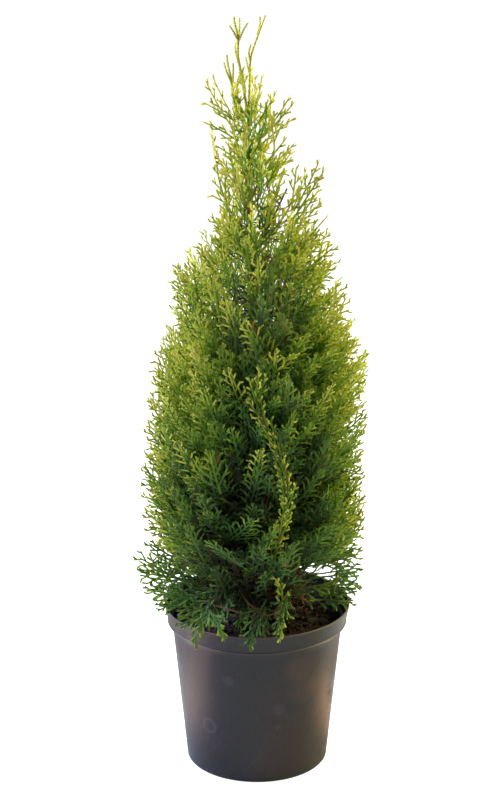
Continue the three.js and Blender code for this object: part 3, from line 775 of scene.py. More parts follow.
def side_shoots(tips, azimuth, axes, length, twist, breadth, rng):
    """The side shoots of sprays, in two ranks: at share s of the axis a shoot is (1 - s) ** 0.8 as
    long as the longest, and shorter close to the root. The spray's plane stands at its twist from
    the upright one and is wrung along the axis. Gives the axes' normals, the shoots' paths, their
    normals, sides, lengths, places along the axis and owners, and which sprays are leafy."""
    count = len(tips)
    level = np.stack([-sin_of(azimuth), cos_of(azimuth), np.zeros(count)], axis=-1)
    mean = unit(axes[:, -1] - axes[:, 0])
    level = square_to(level, mean)
    normal = cos_of(twist)[:, None] * level + sin_of(twist)[:, None] * np.cross(mean, level)

    gap = at_height(SIDE_SHOOT_GAP, tips[:, 2])
    number = np.maximum(4, np.round(length / gap)).astype(int)
    most = int(number.max())
    k = np.arange(most)[None, :]
    share = SIDE_FIRST + SIDE_SPAN * (k + rng.uniform(*JITTER, (count, most))) / number[:, None]
    share_in = np.clip(share, 0, 0.99)
    start = along_axes(axes, share_in)
    along = unit(along_axes(axes, share_in + 0.01) - along_axes(axes, share_in - 0.01))
    wring = rng.uniform(*WRING, count) * either(rng, count)
    wrung = wring[:, None, None] * (share_in[..., None] - 0.5)
    leaning = cos_of(wrung) * normal[:, None] + sin_of(wrung) * np.cross(mean, normal)[:, None]
    over = square_to(leaning, along)
    across = np.cross(over, along)
    side = np.where((k + np.arange(count)[:, None]) % 2 == 0, 1.0, -1.0)
    angle = lerp(*SIDE_ANGLES, share_in) * at_height(UPSWEPT, tips[:, 2])[:, None]
    angle = angle + rng.uniform(-SIDE_WANDER, SIDE_WANDER, share.shape)
    profile = (1 - share_in) ** 0.8 * np.minimum(1, share_in / 0.14 + 0.4)
    size = (SIDE_LENGTH * length * breadth)[:, None] * profile
    size = size * rng.uniform(*SIDE_VARIES, share.shape) + SIDE_LEAST
    dish = rng.uniform(*DISH, count) * either(rng, count, DISH_SHARE)
    cup = dish[:, None] + rng.uniform(-CUP, CUP, share.shape)
    paths = side_paths(start, along, across, over, side, angle, SIDE_CURL, cup, size, SIDE_PLACES)
    keep = (k < number[:, None]) & allowed(paths[:, :, 1]) & allowed(paths[:, :, 3])
    leafy = keep.sum(axis=1) >= LEAFY_SHARE * number
    keep = keep & leafy[:, None]
    owner = np.broadcast_to(np.arange(count)[:, None], keep.shape)[keep]
    shown = (part[keep] for part in (paths, over, side, size, share_in))
    return normal, *shown, owner, leafy


def scale_shoots(gap, paths, over, side, size, run, owner, rng):
    """The scaly shoots of side shoots, in two ranks a gap apart: at share s of a side shoot they
    grow with (1 - s) ** 0.9 of its length. Gives their paths, normals, owners and places along the
    spray's axis."""
    most = MOST_SCALE_SHOOTS
    number = np.clip(np.floor((size - 2.5) / gap[owner]), 0, most).astype(int)
    q = np.arange(most)[None, :]
    step = q + rng.uniform(*JITTER, (len(paths), most))
    share = SCALE_FIRST + SCALE_SPAN * step / np.maximum(number, 1)[:, None]
    share = np.clip(share, 0, 0.97)
    start = along_axes(paths, share)
    along = unit(along_axes(paths, share + 0.02) - along_axes(paths, share - 0.02))
    plane = square_to(np.broadcast_to(over[:, None], along.shape), along)
    across = np.cross(plane, along)
    rank = np.where(q % 2 == 0, 1.0, -1.0) * -side[:, None]
    way = np.where(rank * side[:, None] < 0, FORWARD, BACKWARD)
    long = (SCALE_LEAST + SCALE_LENGTH * size[:, None] * (1 - share) ** 0.9) * way
    long = long * rng.uniform(*SCALE_VARIES, share.shape)
    long = np.minimum(long, 1.5 + 0.85 * (1 - share) * size[:, None])
    angle = SCALE_ANGLE + rng.uniform(-SCALE_WANDER, SCALE_WANDER, share.shape)
    cup = rng.uniform(-CUP, CUP, share.shape)
    twiglets = side_paths(
        start, along, across, plane, rank, angle, SCALE_CURL, cup, long, SCALE_PLACES)
    keep = (q < number[:, None]) & allowed(twiglets[..., 2, :])
    owners = np.broadcast_to(owner[:, None], keep.shape)[keep]
    runs = (np.broadcast_to(run[:, None], keep.shape) + 0.6 * share - 0.3)[keep]
    return twiglets[keep], plane[keep], owners, runs


def grow_sprays(tips, azimuth, climb, length, curl, twist, breadth, tone, rng):
    """Whole sprays as points, triangles and tones, with their axes, and which of them keep enough
    side shoots to be shown. The axis carries side shoots in two ranks, and every side shoot
    carries scaly shoots in the same way."""
    axes = spray_axes(tips, azimuth, climb, curl, length)
    normal, laterals, over, side, size, run, owner, leafy = side_shoots(
        tips, azimuth, axes, length, twist, breadth, rng)
    opening = (1 + SUNNY_OPENING * np.clip(-cos_of(azimuth), 0, 1)
               + FAR_OPENING * np.clip(cos_of(azimuth), 0, 1))
    twiglets, plane, twiglet_owner, twiglet_run = scale_shoots(
        at_height(SCALE_SHOOT_GAP, tips[:, 2]) * opening, laterals, over, side, size, run, owner, rng)

    def dealt(owners, lift, way=0.5):
        """Tones dealt out by spray, between two steps at random; a bright spray's tips stand out
        the most, and tones rise along the way from the spray's root to its tip."""
        rise = lift * np.clip((tone[owners] - 1) / 3, 0.35, 1) + TONE_RISE * (way - 0.5)
        value = tone[owners] + rise + rng.uniform(-0.5, 0.5, len(owners))
        return np.clip(np.round(value), SHADE, PALE)

    def rusty(tones, owners):
        """A few tips gone brown, the most of them high up."""
        return np.where(rng.random(len(tones)) < at_height(RUST_SHARE, tips[owners, 2]), RUST, tones)

    flip = either(rng, len(twiglets))[:, None, None]
    width = at_height(SHOOT_WIDTH, tips[:, 2])
    axis_widths = np.linspace(1.15, 0.9, STATIONS) * width[:, None]
    lateral_widths = width[owner, None] * np.array([0.8, 0.95, 1.05, 0])
    twiglet_width = width[twiglet_owner] * rng.uniform(0.85, 1.1, len(twiglets))
    twiglet_widths = twiglet_width[:, None] * np.array([0.85, 1.05, 0])
    shown = np.flatnonzero(leafy)
    parts = [
        shoots(axes[leafy], np.broadcast_to(normal[:, None], axes.shape)[leafy],
               axis_widths[leafy], dealt(shown, -0.5), dealt(shown, 0.8)),
        shoots(laterals, np.broadcast_to(over[:, None], laterals.shape), lateral_widths,
               dealt(owner, -0.3, run), rusty(dealt(owner, 1.6, run), owner)),
        shoots(twiglets, flip * np.broadcast_to(plane[:, None], twiglets.shape), twiglet_widths,
               dealt(twiglet_owner, 0, twiglet_run),
               rusty(dealt(twiglet_owner, 1.6, twiglet_run), twiglet_owner)),
    ]
    return joined(parts), axes, leafy


def spray_plan(cell, rng):
    """Where the sprays of a mass end and how they stand. The outer ones are spread evenly over the
    mass's outer face, with their tips close to the reach; the inner ones fill it behind them."""
    corners = place_in(cell, 0, np.array([-1, 1]), 1)
    wide = np.hypot(*corners[0, :2]) * math.radians(2 * cell["half_width"])
    tall = abs(corners[1, 2] - corners[0, 2]) + FACE_MORE
    plans = []
    for gap, near, far, steeper, tone in LAYERS_OF.get(cell["tier"], LAYERS):
        count = max(2, int(round(wide * tall * far / gap ** 2)))
        i = np.arange(count)
        g = ((i * GOLDEN + rng.random()) % 1) * 2 - 1
        f = (i + rng.random(count)) / count * 2 - 1
        d = near + (far - near) * rng.random(count) ** 0.8
        tips = place_in(cell, g * SECTOR_SHARE, f, d)
        out = np.hypot(tips[:, 0], tips[:, 1])
        dip = swelling(bearing(tips) % 360, tips[:, 2], HOLLOWS) * d
        tips[:, :2] *= (1 - dip / np.maximum(out, dip + 1))[:, None]
        # Deeper layers carry darker tones, as painted shade of the crown's inside.
        plans.append((tips, np.full(count, tone), np.full(count, steeper)))
    return [np.concatenate([plan[k] for plan in plans]) for k in range(3)]


def plume_rows():
    """The plume's sprays as rows like the set ones: each starts on the spine and leans to one side
    of it, then to the other, and its flat side faces out."""
    spine = smooth_path(PLUME_SPINE, PLUME_SPRAYS + 3)
    rows = []
    for k in range(PLUME_SPRAYS):
        ahead = unit(spine[k + 3] - spine[k])
        part = k * GOLDEN % 1
        lean = (0.6 + 0.8 * part) * (PLUME_LEAN if k % 2 == 0 else -PLUME_LEAN)
        line = unit(ahead + [lean, 0, 0])
        level = unit(np.array([-line[1], line[0], 0]))
        face = np.array([1.1 * math.sin(2.4 * k), -1, 0.1])
        twist = math.degrees(math.atan2(face @ np.cross(line, level), face @ level))
        mass = PLUME_MASSES[k * len(PLUME_MASSES) // PLUME_SPRAYS]
        tip = spine[k] + (0.8 + 0.4 * part) * PLUME_LENGTH * line
        tone = lerp(*PLUME_TONES, k * GOLDEN_LESS % 1)
        rows.append((mass, spine[k], tip, twist, ROW_BREADTH, tone, PLUME_CURL))
    return rows


def collar_rows():
    """The collar's sprays as rows like the set ones, turning by the golden angle as they go up."""
    rows = []
    for k in range(COLLAR_SPRAYS):
        azimuth = GOLDEN_TURN * k % 360
        tip_height = lerp(*COLLAR_HEIGHTS, k / COLLAR_SPRAYS)
        out = np.array([cos_of(azimuth), sin_of(azimuth), 0])
        root = trunk_at(tip_height - COLLAR_CLIMB) + 4 * out
        tip = trunk_at(tip_height) + COLLAR_REACH * (0.8 + 0.4 * (k * GOLDEN % 1)) * out
        mass = f"tuft_{int((azimuth + 120) % 360 // 120) + 1}"
        tone = lerp(*COLLAR_TONES, k * GOLDEN_LESS % 1)
        twist = COLLAR_TWIST * math.sin(2.4 * k)
        rows.append((mass, root, tip, twist, ROW_BREADTH, tone, COLLAR_CURL))
    return rows


def below_on(spine, root):
    """The point of the plume's spine under a spray's root, or no point for a spray that stands
    elsewhere or at the spine's foot."""
    k = np.argmin(np.linalg.norm(spine - root, axis=1))
    return spine[k - 1] if k > 0 and np.allclose(spine[k], root) else np.full(3, np.nan)


def set_sprays(cell):
    """A mass's sprays that are set one by one: their tips, azimuths, climbs, lengths, curls,
    twists, breadths, tones, and the points that they grow from, where they have one."""
    spine = smooth_path(PLUME_SPINE, PLUME_SPRAYS + 3)
    rows = [row for row in SET_SPRAYS + plume_rows() + collar_rows() if row[0] == cell["name"]]
    tips = np.array([tip for _, _, tip, *_ in rows], float).reshape(-1, 3)
    roots = np.array([root for _, root, *_ in rows], float).reshape(-1, 3)
    twist, breadth, tone, curl = np.array([row[3:] for row in rows], float).reshape(-1, 4).T
    line = tips - roots
    level = np.hypot(line[:, 0], line[:, 1])
    climb = np.degrees(np.arctan2(line[:, 2], level))
    length = np.hypot(level, line[:, 2])
    below = np.array([below_on(spine, root) for root in roots]).reshape(-1, 3)
    return tips, bearing(line), climb, length, curl, twist, breadth, tone, below


def spray_stand(cell, tips, steeper, rng):
    """How a mass's sprays stand: azimuth, climb, length and curl. They point away from the pot's
    axis, climb by the height, more in front and on the left, and shrink near the trunk."""
    count = len(tips)
    height = tips[:, 2]
    azimuth = bearing(tips) + rng.normal(0, AZIMUTH_VARIES, count)
    climb = at_height(CLIMB, height) + steeper + rng.normal(0, CLIMB_VARIES, count)
    climb = climb + FRONT_RISE * sin_of(azimuth) ** 2 * (cell["tier"] != "skirt")
    climb = climb - LEFT_RISE * cos_of(azimuth) * (height > LOW_FRONT)
    length = at_height(SPRAY_LENGTH, height) * rng.uniform(*LENGTH_VARIES, count)
    radius = np.hypot(tips[:, 0], tips[:, 1])
    length = np.minimum(length, 0.86 * radius / np.maximum(cos_of(climb), STEEPEST_COS) + 6)
    return azimuth, climb, length, rng.uniform(*CURL, count)


def spray_twist(cell, azimuth, climb, height, rng):
    """How far the sprays' planes turn from the upright one through the trunk. On the shown side
    they stay within LEAST_FACE of the turn at which a spray looks broadest along FRONT: with the
    plane's normal cos t * level + sin t * upright, that is atan2(upright . FRONT, level . FRONT)."""
    flat_lying = cell["tier"] == "skirt"
    lay = SKIRT_LAY if flat_lying else 0
    spread = SKIRT_SPREAD if flat_lying else SPREAD
    twist = rng.uniform(-spread, spread, len(azimuth))
    twist = twist + np.sign(twist) * FRONT_FACING * np.abs(sin_of(azimuth)) * (not flat_lying)
    parted = (sin_of(azimuth) < PARTED_FROM) & (rng.random(len(azimuth)) < PARTED_SHARE)
    twist = np.where(
        parted & (not flat_lying), np.abs(twist) * np.sign(cos_of(azimuth)), twist)
    twist = np.where(cos_of(azimuth) > 0, -lay, lay) + twist
    level = -sin_of(azimuth) * FRONT[0] + cos_of(azimuth) * FRONT[1]
    upright = (-sin_of(climb) * (cos_of(azimuth) * FRONT[0] + sin_of(azimuth) * FRONT[1])
               + cos_of(climb) * FRONT[2])
    broadest = np.degrees(np.arctan2(upright, level))
    off = (twist - broadest + 90) % 180 - 90
    shown = (sin_of(azimuth) < SHOWN_TO) & (not flat_lying)
    most = at_height(LEAST_FACE, height)
    return np.where(shown, broadest + np.clip(off, -most, most), twist)


def spray_tone(tips, azimuth, tone, rng):
    """The sprays' tones: lighter with the height; lighter towards the sides as painted light and
    darker in front and behind as painted shade; darker in the crown's hollows, in the listed places
    of painted shade and low in front, all as painted shade; and lighter in one listed place as
    painted light."""
    height = tips[:, 2]
    place = bearing(tips) % 360
    side = np.abs(cos_of(azimuth))
    tone = tone + at_height(SPRAY_TONE, height) + rng.normal(0, 0.5, len(tips))
    # Sprays in the crown's hollows are darker by their depth, as painted shade.
    depth = np.where(height < HOLLOW_TOP, swelling(place, height, HOLLOWS), 0)
    tone = tone - depth / HOLLOW_PER_TONE
    # The sides are lighter and the front and back darker, as painted light and shade.
    tone = tone + SIDE_PAINTED_LIGHT * (side - 0.5)
    # Listed places are darker as painted shade, and one is lighter as painted light.
    tone = tone - swelling(place, height, PAINTED_SHADE_AND_LIGHT_SPOTS)
    # Low in front the tone is capped, as painted shade.
    limit = np.where(height < LOW_FRONT, LOW_FRONT_TONE + LOW_SIDE_TONE * side, NO_LIMIT)
    return np.minimum(tone, limit)


def grow_wood(cell, axes, length, below, rng):
    """The stem of a mass, which carries on where its bough ends, and bowed woody twigs from the
    stem, or from the points given, to the sprays' roots: curves (1 - s) ** 2 * foot + 2 * s *
    (1 - s) * knee + s ** 2 * end."""
    path = cell_path(cell)
    stem = path[bough_end(cell, path) if cell["bough"] else 0:]
    roots = axes[:, 0]
    heading = unit(axes[:, 1] - axes[:, 0])
    aim = roots - heading * (0.3 * length)[:, None]
    nearest = np.argmin(np.linalg.norm(stem[None] - aim[:, None], axis=2), axis=1)
    foot = np.where(np.isnan(below), stem[nearest], below)
    knee = roots - heading * (0.45 * np.linalg.norm(roots - foot, axis=1))[:, None]
    s = np.linspace(0, 1, TWIG_PLACES)[None, :, None]
    twigs = (1 - s) ** 2 * foot[:, None] + 2 * s * (1 - s) * knee[:, None] + s ** 2 * (
        roots + heading * TWIG_OVERLAP)[:, None]
    widths = np.ones((len(axes), 1)) * np.linspace(*TWIG_WIDTHS, TWIG_PLACES)
    normals = np.broadcast_to(np.array(TWIG_NORMAL), twigs.shape)
    green = cell["tier"] in ("tuft", "leader")
    tones = np.full(len(axes), GREEN_SHOOT) if green else np.where(
        rng.random(len(axes)) < 0.5, BARK, RED_TWIG)
    limbs = [shoots(twigs, normals, widths, tones, tones)]

    trunk_there = 0.5 * trunk_radius(path[0, 2] / TRUNK_HEIGHT, 0.0)
    foot_radius = BOUGH_TIP_RADIUS if cell["bough"] else trunk_there
    line = stem[::STEM_STEP]
    limbs.append(limb(line, (foot_radius, STEM_TIP_RADIUS), GREEN_SHOOT if green else BARK))
    if cell["name"] == BENT_MASS:
        line = smooth_path(BENT_TWIG, 4 * len(BENT_TWIG))
        limbs.append(limb(line, BENT_TWIG_RADII, RED_TWIG))
    return joined(limbs)


def limb(line, radii, tone):
    """A plain tapering limb of one tone."""
    points, faces = tube(line, np.linspace(*radii, len(line)), LIMB_SIDES)
    return points, faces, np.full(len(faces), tone)


def grow_mass(cell):
    """One mass of foliage: its sprays, and the woody twigs that join them to its stem."""
    rng = np.random.default_rng(1000 * cell["level"] + cell["index"] + 7)
    tips, tone, steeper = spray_plan(cell, rng)
    azimuth, climb, length, curl = spray_stand(cell, tips, steeper, rng)
    twist = spray_twist(cell, azimuth, climb, tips[:, 2], rng)
    breadth = rng.uniform(*BREADTH, len(tips))
    tone = spray_tone(tips, azimuth, tone, rng)
    below = np.full((len(tips), 3), np.nan)
    planned = (tips, azimuth, climb, length, curl, twist, breadth, tone, below)
    tips, azimuth, climb, length, curl, twist, breadth, tone, below = (
        np.concatenate(pair) for pair in zip(planned, set_sprays(cell)))
    tone = tone + TUFT_TONE * (cell["tier"] == "tuft")
    tips = np.clip(tips, BOX_LOW - BOX_SLACK + 1, BOX_HIGH + BOX_SLACK - 1)
    leaves, axes, leafy = grow_sprays(
        tips, azimuth, climb, length, curl, twist, breadth, tone, rng)
    return leaves, grow_wood(cell, axes[leafy], length[leafy], below[leafy], rng)


def grow_leaders():
    """The left leader and the small shoots of both: shoots whose width swells and narrows from
    scale leaf to scale leaf."""
    parts = []
    for points, width in LEADER_SHOOTS:
        path = smooth_path(points, 12 * len(points) + 1)
        swell = 1 + LEADER_SWELL * np.where(np.arange(len(path)) % 2 == 0, 1, -1)
        widths = (swell * np.linspace(width, LEADER_TAPER * width, len(path)))[None]
        for plane in ((0.0, 1.0, 0.0), (1.0, 0.0, 0.0)):
            normals = np.broadcast_to(np.array(plane), (1, *path.shape))
            parts.append(shoots(path[None], normals, widths, np.array([PALE]), np.array([PALE])))
    return joined(parts)


# ---- Trunk and boughs ---------------------------------------------------------------------


def trunk_radius(share, angle):
    """The trunk's radius: an even taper, with a flare of a few roots just over the soil."""
    height = share * TRUNK_HEIGHT
    roots = 0.75 + 0.25 * np.cos(ROOTS * angle)
    flare = ROOT_FLARE * np.exp(-height / ROOT_FLARE_HEIGHT) * roots
    return lerp(TRUNK_RADIUS, TRUNK_TIP_RADIUS, share ** 0.8) + flare


def bark_relief(deep, seed):
    """Fibrous bark: long narrow strips, as relief over angle and run along the limb."""
    def relief(angle, run):
        wander = 0.35 * np.sin(run / 31 + seed) + 0.2 * np.sin(run / 11 + 2 * seed)
        strips = np.sin(9 * (angle + wander)) * np.sin(run / 9 + 3 * np.sin(3 * angle) + seed)
        fine = np.sin(17 * (angle - 0.6 * wander) + run / 5) * 0.4
        return deep * (0.7 * strips + fine)
    return relief


def grow_trunk(finishes):
    """The trunk with strips of bark below and, above, a green shoot ringed by scale leaves."""
    path = smooth_path(TRUNK_AXIS, TRUNK_RINGS)
    share = np.linspace(0, 1, TRUNK_RINGS)
    bark = bark_relief(TRUNK_BARK, 1.7)
    between_roots = math.pi / ROOTS

    def relief(angle, run):
        woody = np.clip((GREEN_FROM - run) / GREENING, 0, 1)
        along = run / TRUNK_HEIGHT
        flare = trunk_radius(along, angle) - trunk_radius(along, between_roots)
        scales = LEAF_RING_SWELL * np.cos(2 * math.pi * run / LEAF_RING_GAP + 2 * np.cos(2 * angle))
        return flare + woody * bark(angle, run) + (1 - woody) * scales

    points, faces = tube(path, trunk_radius(share, between_roots), TRUNK_SIDES, relief)
    heights = points[faces[:, 0], 2]
    tones = np.where(
        heights > PALE_FROM, PALE_SHOOT, np.where(heights > GREEN_FROM, GREEN_SHOOT, BARK))
    trunk = put_mesh("trunk_bark", points + [0, 0, FOOT], faces, finishes, tones, smooth=True)
    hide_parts("trunk")


def grow_boughs(cells, finishes):
    """The bare inner boughs, each a tapering limb with bark, joined to one piece."""
    carriers = [cell for cell in cells if cell["bough"]]
    parts = []
    for cell in carriers:
        path = cell_path(cell)
        line = smooth_path(path[: bough_end(cell, path) + 1], BOUGH_RINGS)
        radii = np.linspace(BOUGH_RADIUS, BOUGH_TIP_RADIUS, BOUGH_RINGS)
        relief = bark_relief(BOUGH_BARK, cell["index"] + 0.3)
        points, faces = tube(line, radii, BOUGH_SIDES, relief)
        parts.append((points, faces, np.full(len(faces), BARK)))
    points, faces, tones = joined(parts)
    boughs = put_mesh("boughs_bark", points + [0, 0, FOOT], faces, finishes, tones, smooth=True)
    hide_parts(*(f"bough_{cell['name']}" for cell in carriers))


# ---- Pot and soil -------------------------------------------------------------------------


def turned(profile, sides):
    """A shape turned round the pot's axis from a profile that starts and ends on it: each point
    (r, z) becomes a ring, and the two ends close in poles."""
    profile = np.asarray(profile, float)
    angle = angles_round(sides)
    middle = profile[1:-1]
    rings = np.stack([
        middle[:, :1] * np.cos(angle), middle[:, :1] * np.sin(angle),
        np.broadcast_to(middle[:, 1:], (len(middle), sides))], axis=-1)
    points = np.vstack([
        rings.reshape(-1, 3), [[0, 0, profile[0, 1]]], [[0, 0, profile[-1, 1]]]])
    return points, ring_faces(len(middle), sides)


def pot_profile():
    """The pot's section from the middle of its underside up its wall, over the rim and down
    inside to the middle of its floor. Walls are straight, and edges and steps are rounded."""
    base, body, band, rim = BASE_RADIUS, BODY_TOP_RADIUS, BAND_FOOT_RADIUS, RIM_RADIUS
    foot, level, top = FOOT_CHAMFER, BAND_FOOT, POT_TOP
    under = [
        (0, 0.6), (DRAIN_RING - 14, 0.6), (DRAIN_RING - 12, 0), (base - foot, 0),
        (base - 1.6, 0.5), (base - 0.4, 1.8), (base, foot), (base + 0.2, foot + 3)]
    wall = [
        (lerp(base + 0.3, body, s), lerp(foot + 4, level - 3.4, s))
        for s in np.linspace(0, 1, WALL_RINGS)]
    step = [
        (body + 0.8, level - 2.2), (body + 2.2, level - 1.2), (band - 1.2, level - 0.4),
        (band + 0.4, level + 0.2), (band + 0.9, level + 1), (band + 0.7, level + 1.7),
        (band + 0.2, level + 2.3), (band + 0.4, level + 4)]
    edge = [
        (rim - 0.6, top - 4), (rim - 0.1, top - 2.2), (rim, top - 1.3), (rim - 0.3, top - 0.4),
        (rim - 1, top), (rim - 1.9, top - 0.2), (rim - WALL - 0.5, top - 1)]
    inside = [
        (band - WALL + 0.4, level + 6), (band - WALL - 0.6, level + 4),
        (body - WALL + 0.8, level + 2.6), (body - WALL, level + 1),
        (base - WALL, foot + 1), (base - WALL - 1.4, FLOOR + 0.6), (base - WALL - foot, FLOOR),
        (0, FLOOR)]
    return under + wall + step + edge + inside


def make_pot(finish, inside_painted_shade_finish):
    """The pot: a turned shell whose inner wall takes a darker finish as painted shade, with drain
    holes drilled through its floor.
    """
    points, faces = turned(pot_profile(), POT_SIDES)
    corners = points[faces]
    facing = unit(np.cross(corners[:, 1] - corners[:, 0], corners[:, 2] - corners[:, 0]))
    middles = corners.mean(axis=1)
    # Faces of the inner wall take the darker finish, as painted shade.
    inward = np.sum(facing[:, :2] * unit(middles[:, :2]), axis=1) < -0.3
    tones = inward & (middles[:, 2] > FLOOR) & (middles[:, 2] < POT_TOP - 1.2)
    pot = put_mesh("pot_shell", points, faces, [finish, inside_painted_shade_finish], tones, smooth=True)
    drills = []
    for hole in range(DRAIN_HOLES):
        angle = (hole + 0.5) / DRAIN_HOLES * 2 * math.pi
        ring = [(0, -FLOOR), (DRAIN_RADIUS, -FLOOR), (DRAIN_RADIUS, 2 * FLOOR), (0, 2 * FLOOR)]
        points, faces = turned(ring, DRAIN_SIDES)
        points[:, :2] += DRAIN_RING * np.array([math.cos(angle), math.sin(angle)])
        drills.append((points, faces, np.zeros(len(faces), int)))
    cutter = put_mesh("drain_cutter", *joined(drills)[:2], [finish])
    cut = pot.modifiers.new("drain_holes", "BOOLEAN")
    cut.object = cutter
    cut.solver = "EXACT"
    cut.operation = "DIFFERENCE"
    graph = bpy.context.evaluated_depsgraph_get()
    mesh = bpy.data.meshes.new_from_object(pot.evaluated_get(graph))
    pot.modifiers.clear()
    pot.data = mesh
    bpy.data.objects.remove(cutter)
    sharp = pot.modifiers.new("crisp_edges", "EDGE_SPLIT")
    sharp.split_angle = math.radians(CRISP_ANGLE)
    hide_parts("pot")


def soil_height(x, y):
    """The soil's surface: a low mound that falls off outwards and once more at the pot's wall,
    with soft lumps and fine crumbs."""
    radius = np.hypot(x, y)
    level = FOOT - 0.6 - SOIL_MOUND * np.clip((radius - 24) / 70, 0, 1) ** 1.2
    level = level - 3.2 * np.clip((radius - 96) / 18, 0, 1)
    places = np.stack([x, y], axis=-1)
    for high, length, seed, waves in SOIL_LUMPS:
        level = level + high * ripple(places, length, seed, waves)
    return level - 0.6


def make_soil(finish):
    """The soil: a polar grid of rings whose heights follow soil_height, closed by the pot's inner
    wall and floor."""
    edge = lerp(BASE_RADIUS, BODY_TOP_RADIUS, (FOOT - 14) / BAND_FOOT) - WALL - 0.6
    radii = edge * np.linspace(1, 0, SOIL_RINGS) ** 0.9
    angle = angles_round(SOIL_SIDES)
    x = radii[:-1, None] * np.cos(angle)
    y = radii[:-1, None] * np.sin(angle)
    top = np.stack([x, y, soil_height(x, y)], axis=-1)
    low = np.array([
        (BASE_RADIUS - WALL - FOOT_CHAMFER - 1.5, FLOOR + 0.3), (BASE_RADIUS - WALL - 1.2, 8),
        (edge - 3.4, FOOT - 40)])
    below = np.stack([
        low[:, :1] * np.cos(angle), low[:, :1] * np.sin(angle),
        np.broadcast_to(low[:, 1:], (len(low), SOIL_SIDES))], axis=-1)
    middle = soil_height(np.zeros(1), np.zeros(1))[0]
    rings = np.vstack([below, top])
    points = np.vstack([rings.reshape(-1, 3), [[0, 0, FLOOR + 0.3]], [[0, 0, middle]]])
    faces = ring_faces(len(rings), SOIL_SIDES)
    soil = put_mesh("soil_body", points, faces, [finish], smooth=True)
    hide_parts("soil")


def scattered(rng, count, reach_out):
    """Seeded places spread evenly over a disc."""
    radius = reach_out * np.sqrt(rng.random(count))
    angle = rng.uniform(0, 2 * math.pi, count)
    return radius * np.cos(angle), radius * np.sin(angle)


def make_chips(rng, count):
    """Bark chips and crumbs: boxes with ragged corners, each spun by a quaternion that keeps it
    nearly flat."""
    x, y = scattered(rng, count, CHIP_REACH)
    length = 0.7 + 3.6 * rng.random(count) ** 4
    width = length * rng.uniform(0.35, 0.8, count)
    depth = length * rng.uniform(0.2, 0.45, count)
    signs = np.array([[i, j, k] for k in (-1, 1) for j in (-1, 1) for i in (-1, 1)], float)
    box = signs[None] * np.stack([length, width, depth], -1)[:, None]
    box = box * rng.uniform(0.7, 1.1, (count, 8, 3))
    turn = rng.normal(size=(count, 4)) * [1.0, 0.25, 0.25, 1.0]
    w, i, j, k = unit(turn).T
    spin = np.stack([
        1 - 2 * (j * j + k * k), 2 * (i * j - k * w), 2 * (i * k + j * w),
        2 * (i * j + k * w), 1 - 2 * (i * i + k * k), 2 * (j * k - i * w),
        2 * (i * k - j * w), 2 * (j * k + i * w), 1 - 2 * (i * i + j * j)], -1).reshape(-1, 3, 3)
    points = np.einsum("nab,nkb->nka", spin, box)
    points = points + np.stack([x, y, soil_height(x, y) + depth * 0.3], -1)[:, None]
    cube = np.array([
        [0, 2, 3], [0, 3, 1], [4, 5, 7], [4, 7, 6], [0, 1, 5], [0, 5, 4],
        [2, 6, 7], [2, 7, 3], [0, 4, 6], [0, 6, 2], [1, 3, 7], [1, 7, 5]])
    faces = cube[None] + (np.arange(count) * 8)[:, None, None]
    tones = np.repeat(rng.choice(4, count, p=[0.6, 0.27, 0.1, 0.03]), len(cube))
    return points.reshape(-1, 3), faces.reshape(-1, 3), tones


def make_fibres(rng, count):
    """Thin fibres: shoots that turn as they run and bow up by 1 - (2 s) ** 2 from the soil."""
    x, y = scattered(rng, count, FIBRE_REACH)
    heading = rng.uniform(0, 2 * math.pi, count)
    run = rng.uniform(5, 20, count)
    s = np.linspace(-0.5, 0.5, 6)
    turn = heading[:, None] + rng.normal(0, 0.5, count)[:, None] * s * 4
    x = x[:, None] + run[:, None] * s * np.cos(turn)
    y = y[:, None] + run[:, None] * s * np.sin(turn)
    lift = rng.uniform(0.2, 3.5, count)[:, None] * (1 - (2 * s) ** 2)
    paths = np.stack([x, y, soil_height(x, y) + 0.4 + lift], -1)
    widths = rng.uniform(0.5, 1.2, (count, 1)) * np.ones(len(s))
    up = np.broadcast_to(np.array([0.0, 0.0, 1.0]), paths.shape)
    tones = rng.choice([1, 2, 3], count, p=[0.4, 0.4, 0.2])
    return shoots(paths, up, widths, tones, tones)


def make_litter(finishes):
    """What lies on the soil: bark chips, crumbs and reddish fibres."""
    rng = np.random.default_rng(LITTER_SEED)
    points, faces, tones = joined([make_chips(rng, CHIPS), make_fibres(rng, FIBRES)])
    put_mesh("soil_litter", points, faces, finishes, tones)


# ---- Finishes -----------------------------------------------------------------------------


def shade(red, green, blue):
    """A colour of a paint chart, 0 to 255, as the linear values that a shader takes."""
    values = np.array([red, green, blue]) / 255
    linear = np.where(values <= 0.04045, values / 12.92, ((values + 0.055) / 1.055) ** 2.4)
    return (*linear.tolist(), 1.0)


def feed(tree, node, inputs):
    """Gives a node's inputs, by name or number, a value each or another node's output."""
    for label, value in inputs.items():
        if isinstance(value, bpy.types.NodeSocket):
            tree.links.new(value, node.inputs[label])
        else:
            node.inputs[label].default_value = value
    return node


def plain_finish(name, colour, roughness, gloss=0.5, **more):
    """A finish of one colour for small pieces, whose colours are dealt out piece by piece."""
    material = bpy.data.materials.new(name)
    material.use_nodes = True
    feed(material.node_tree, material.node_tree.nodes["Principled BSDF"], {
        "Base Color": colour, "Roughness": roughness, "Specular IOR Level": gloss, **more})
    return material


def leaf_finish(name, colour):
    """Waxy scale leaves with little gloss, thin enough that light spreads through them."""
    return plain_finish(name, colour, 0.65, 0.25, **{
        "Subsurface Weight": 0.3, "Subsurface Radius": (1.2, 1.0, 0.3),
        "Subsurface Scale": 0.0025})


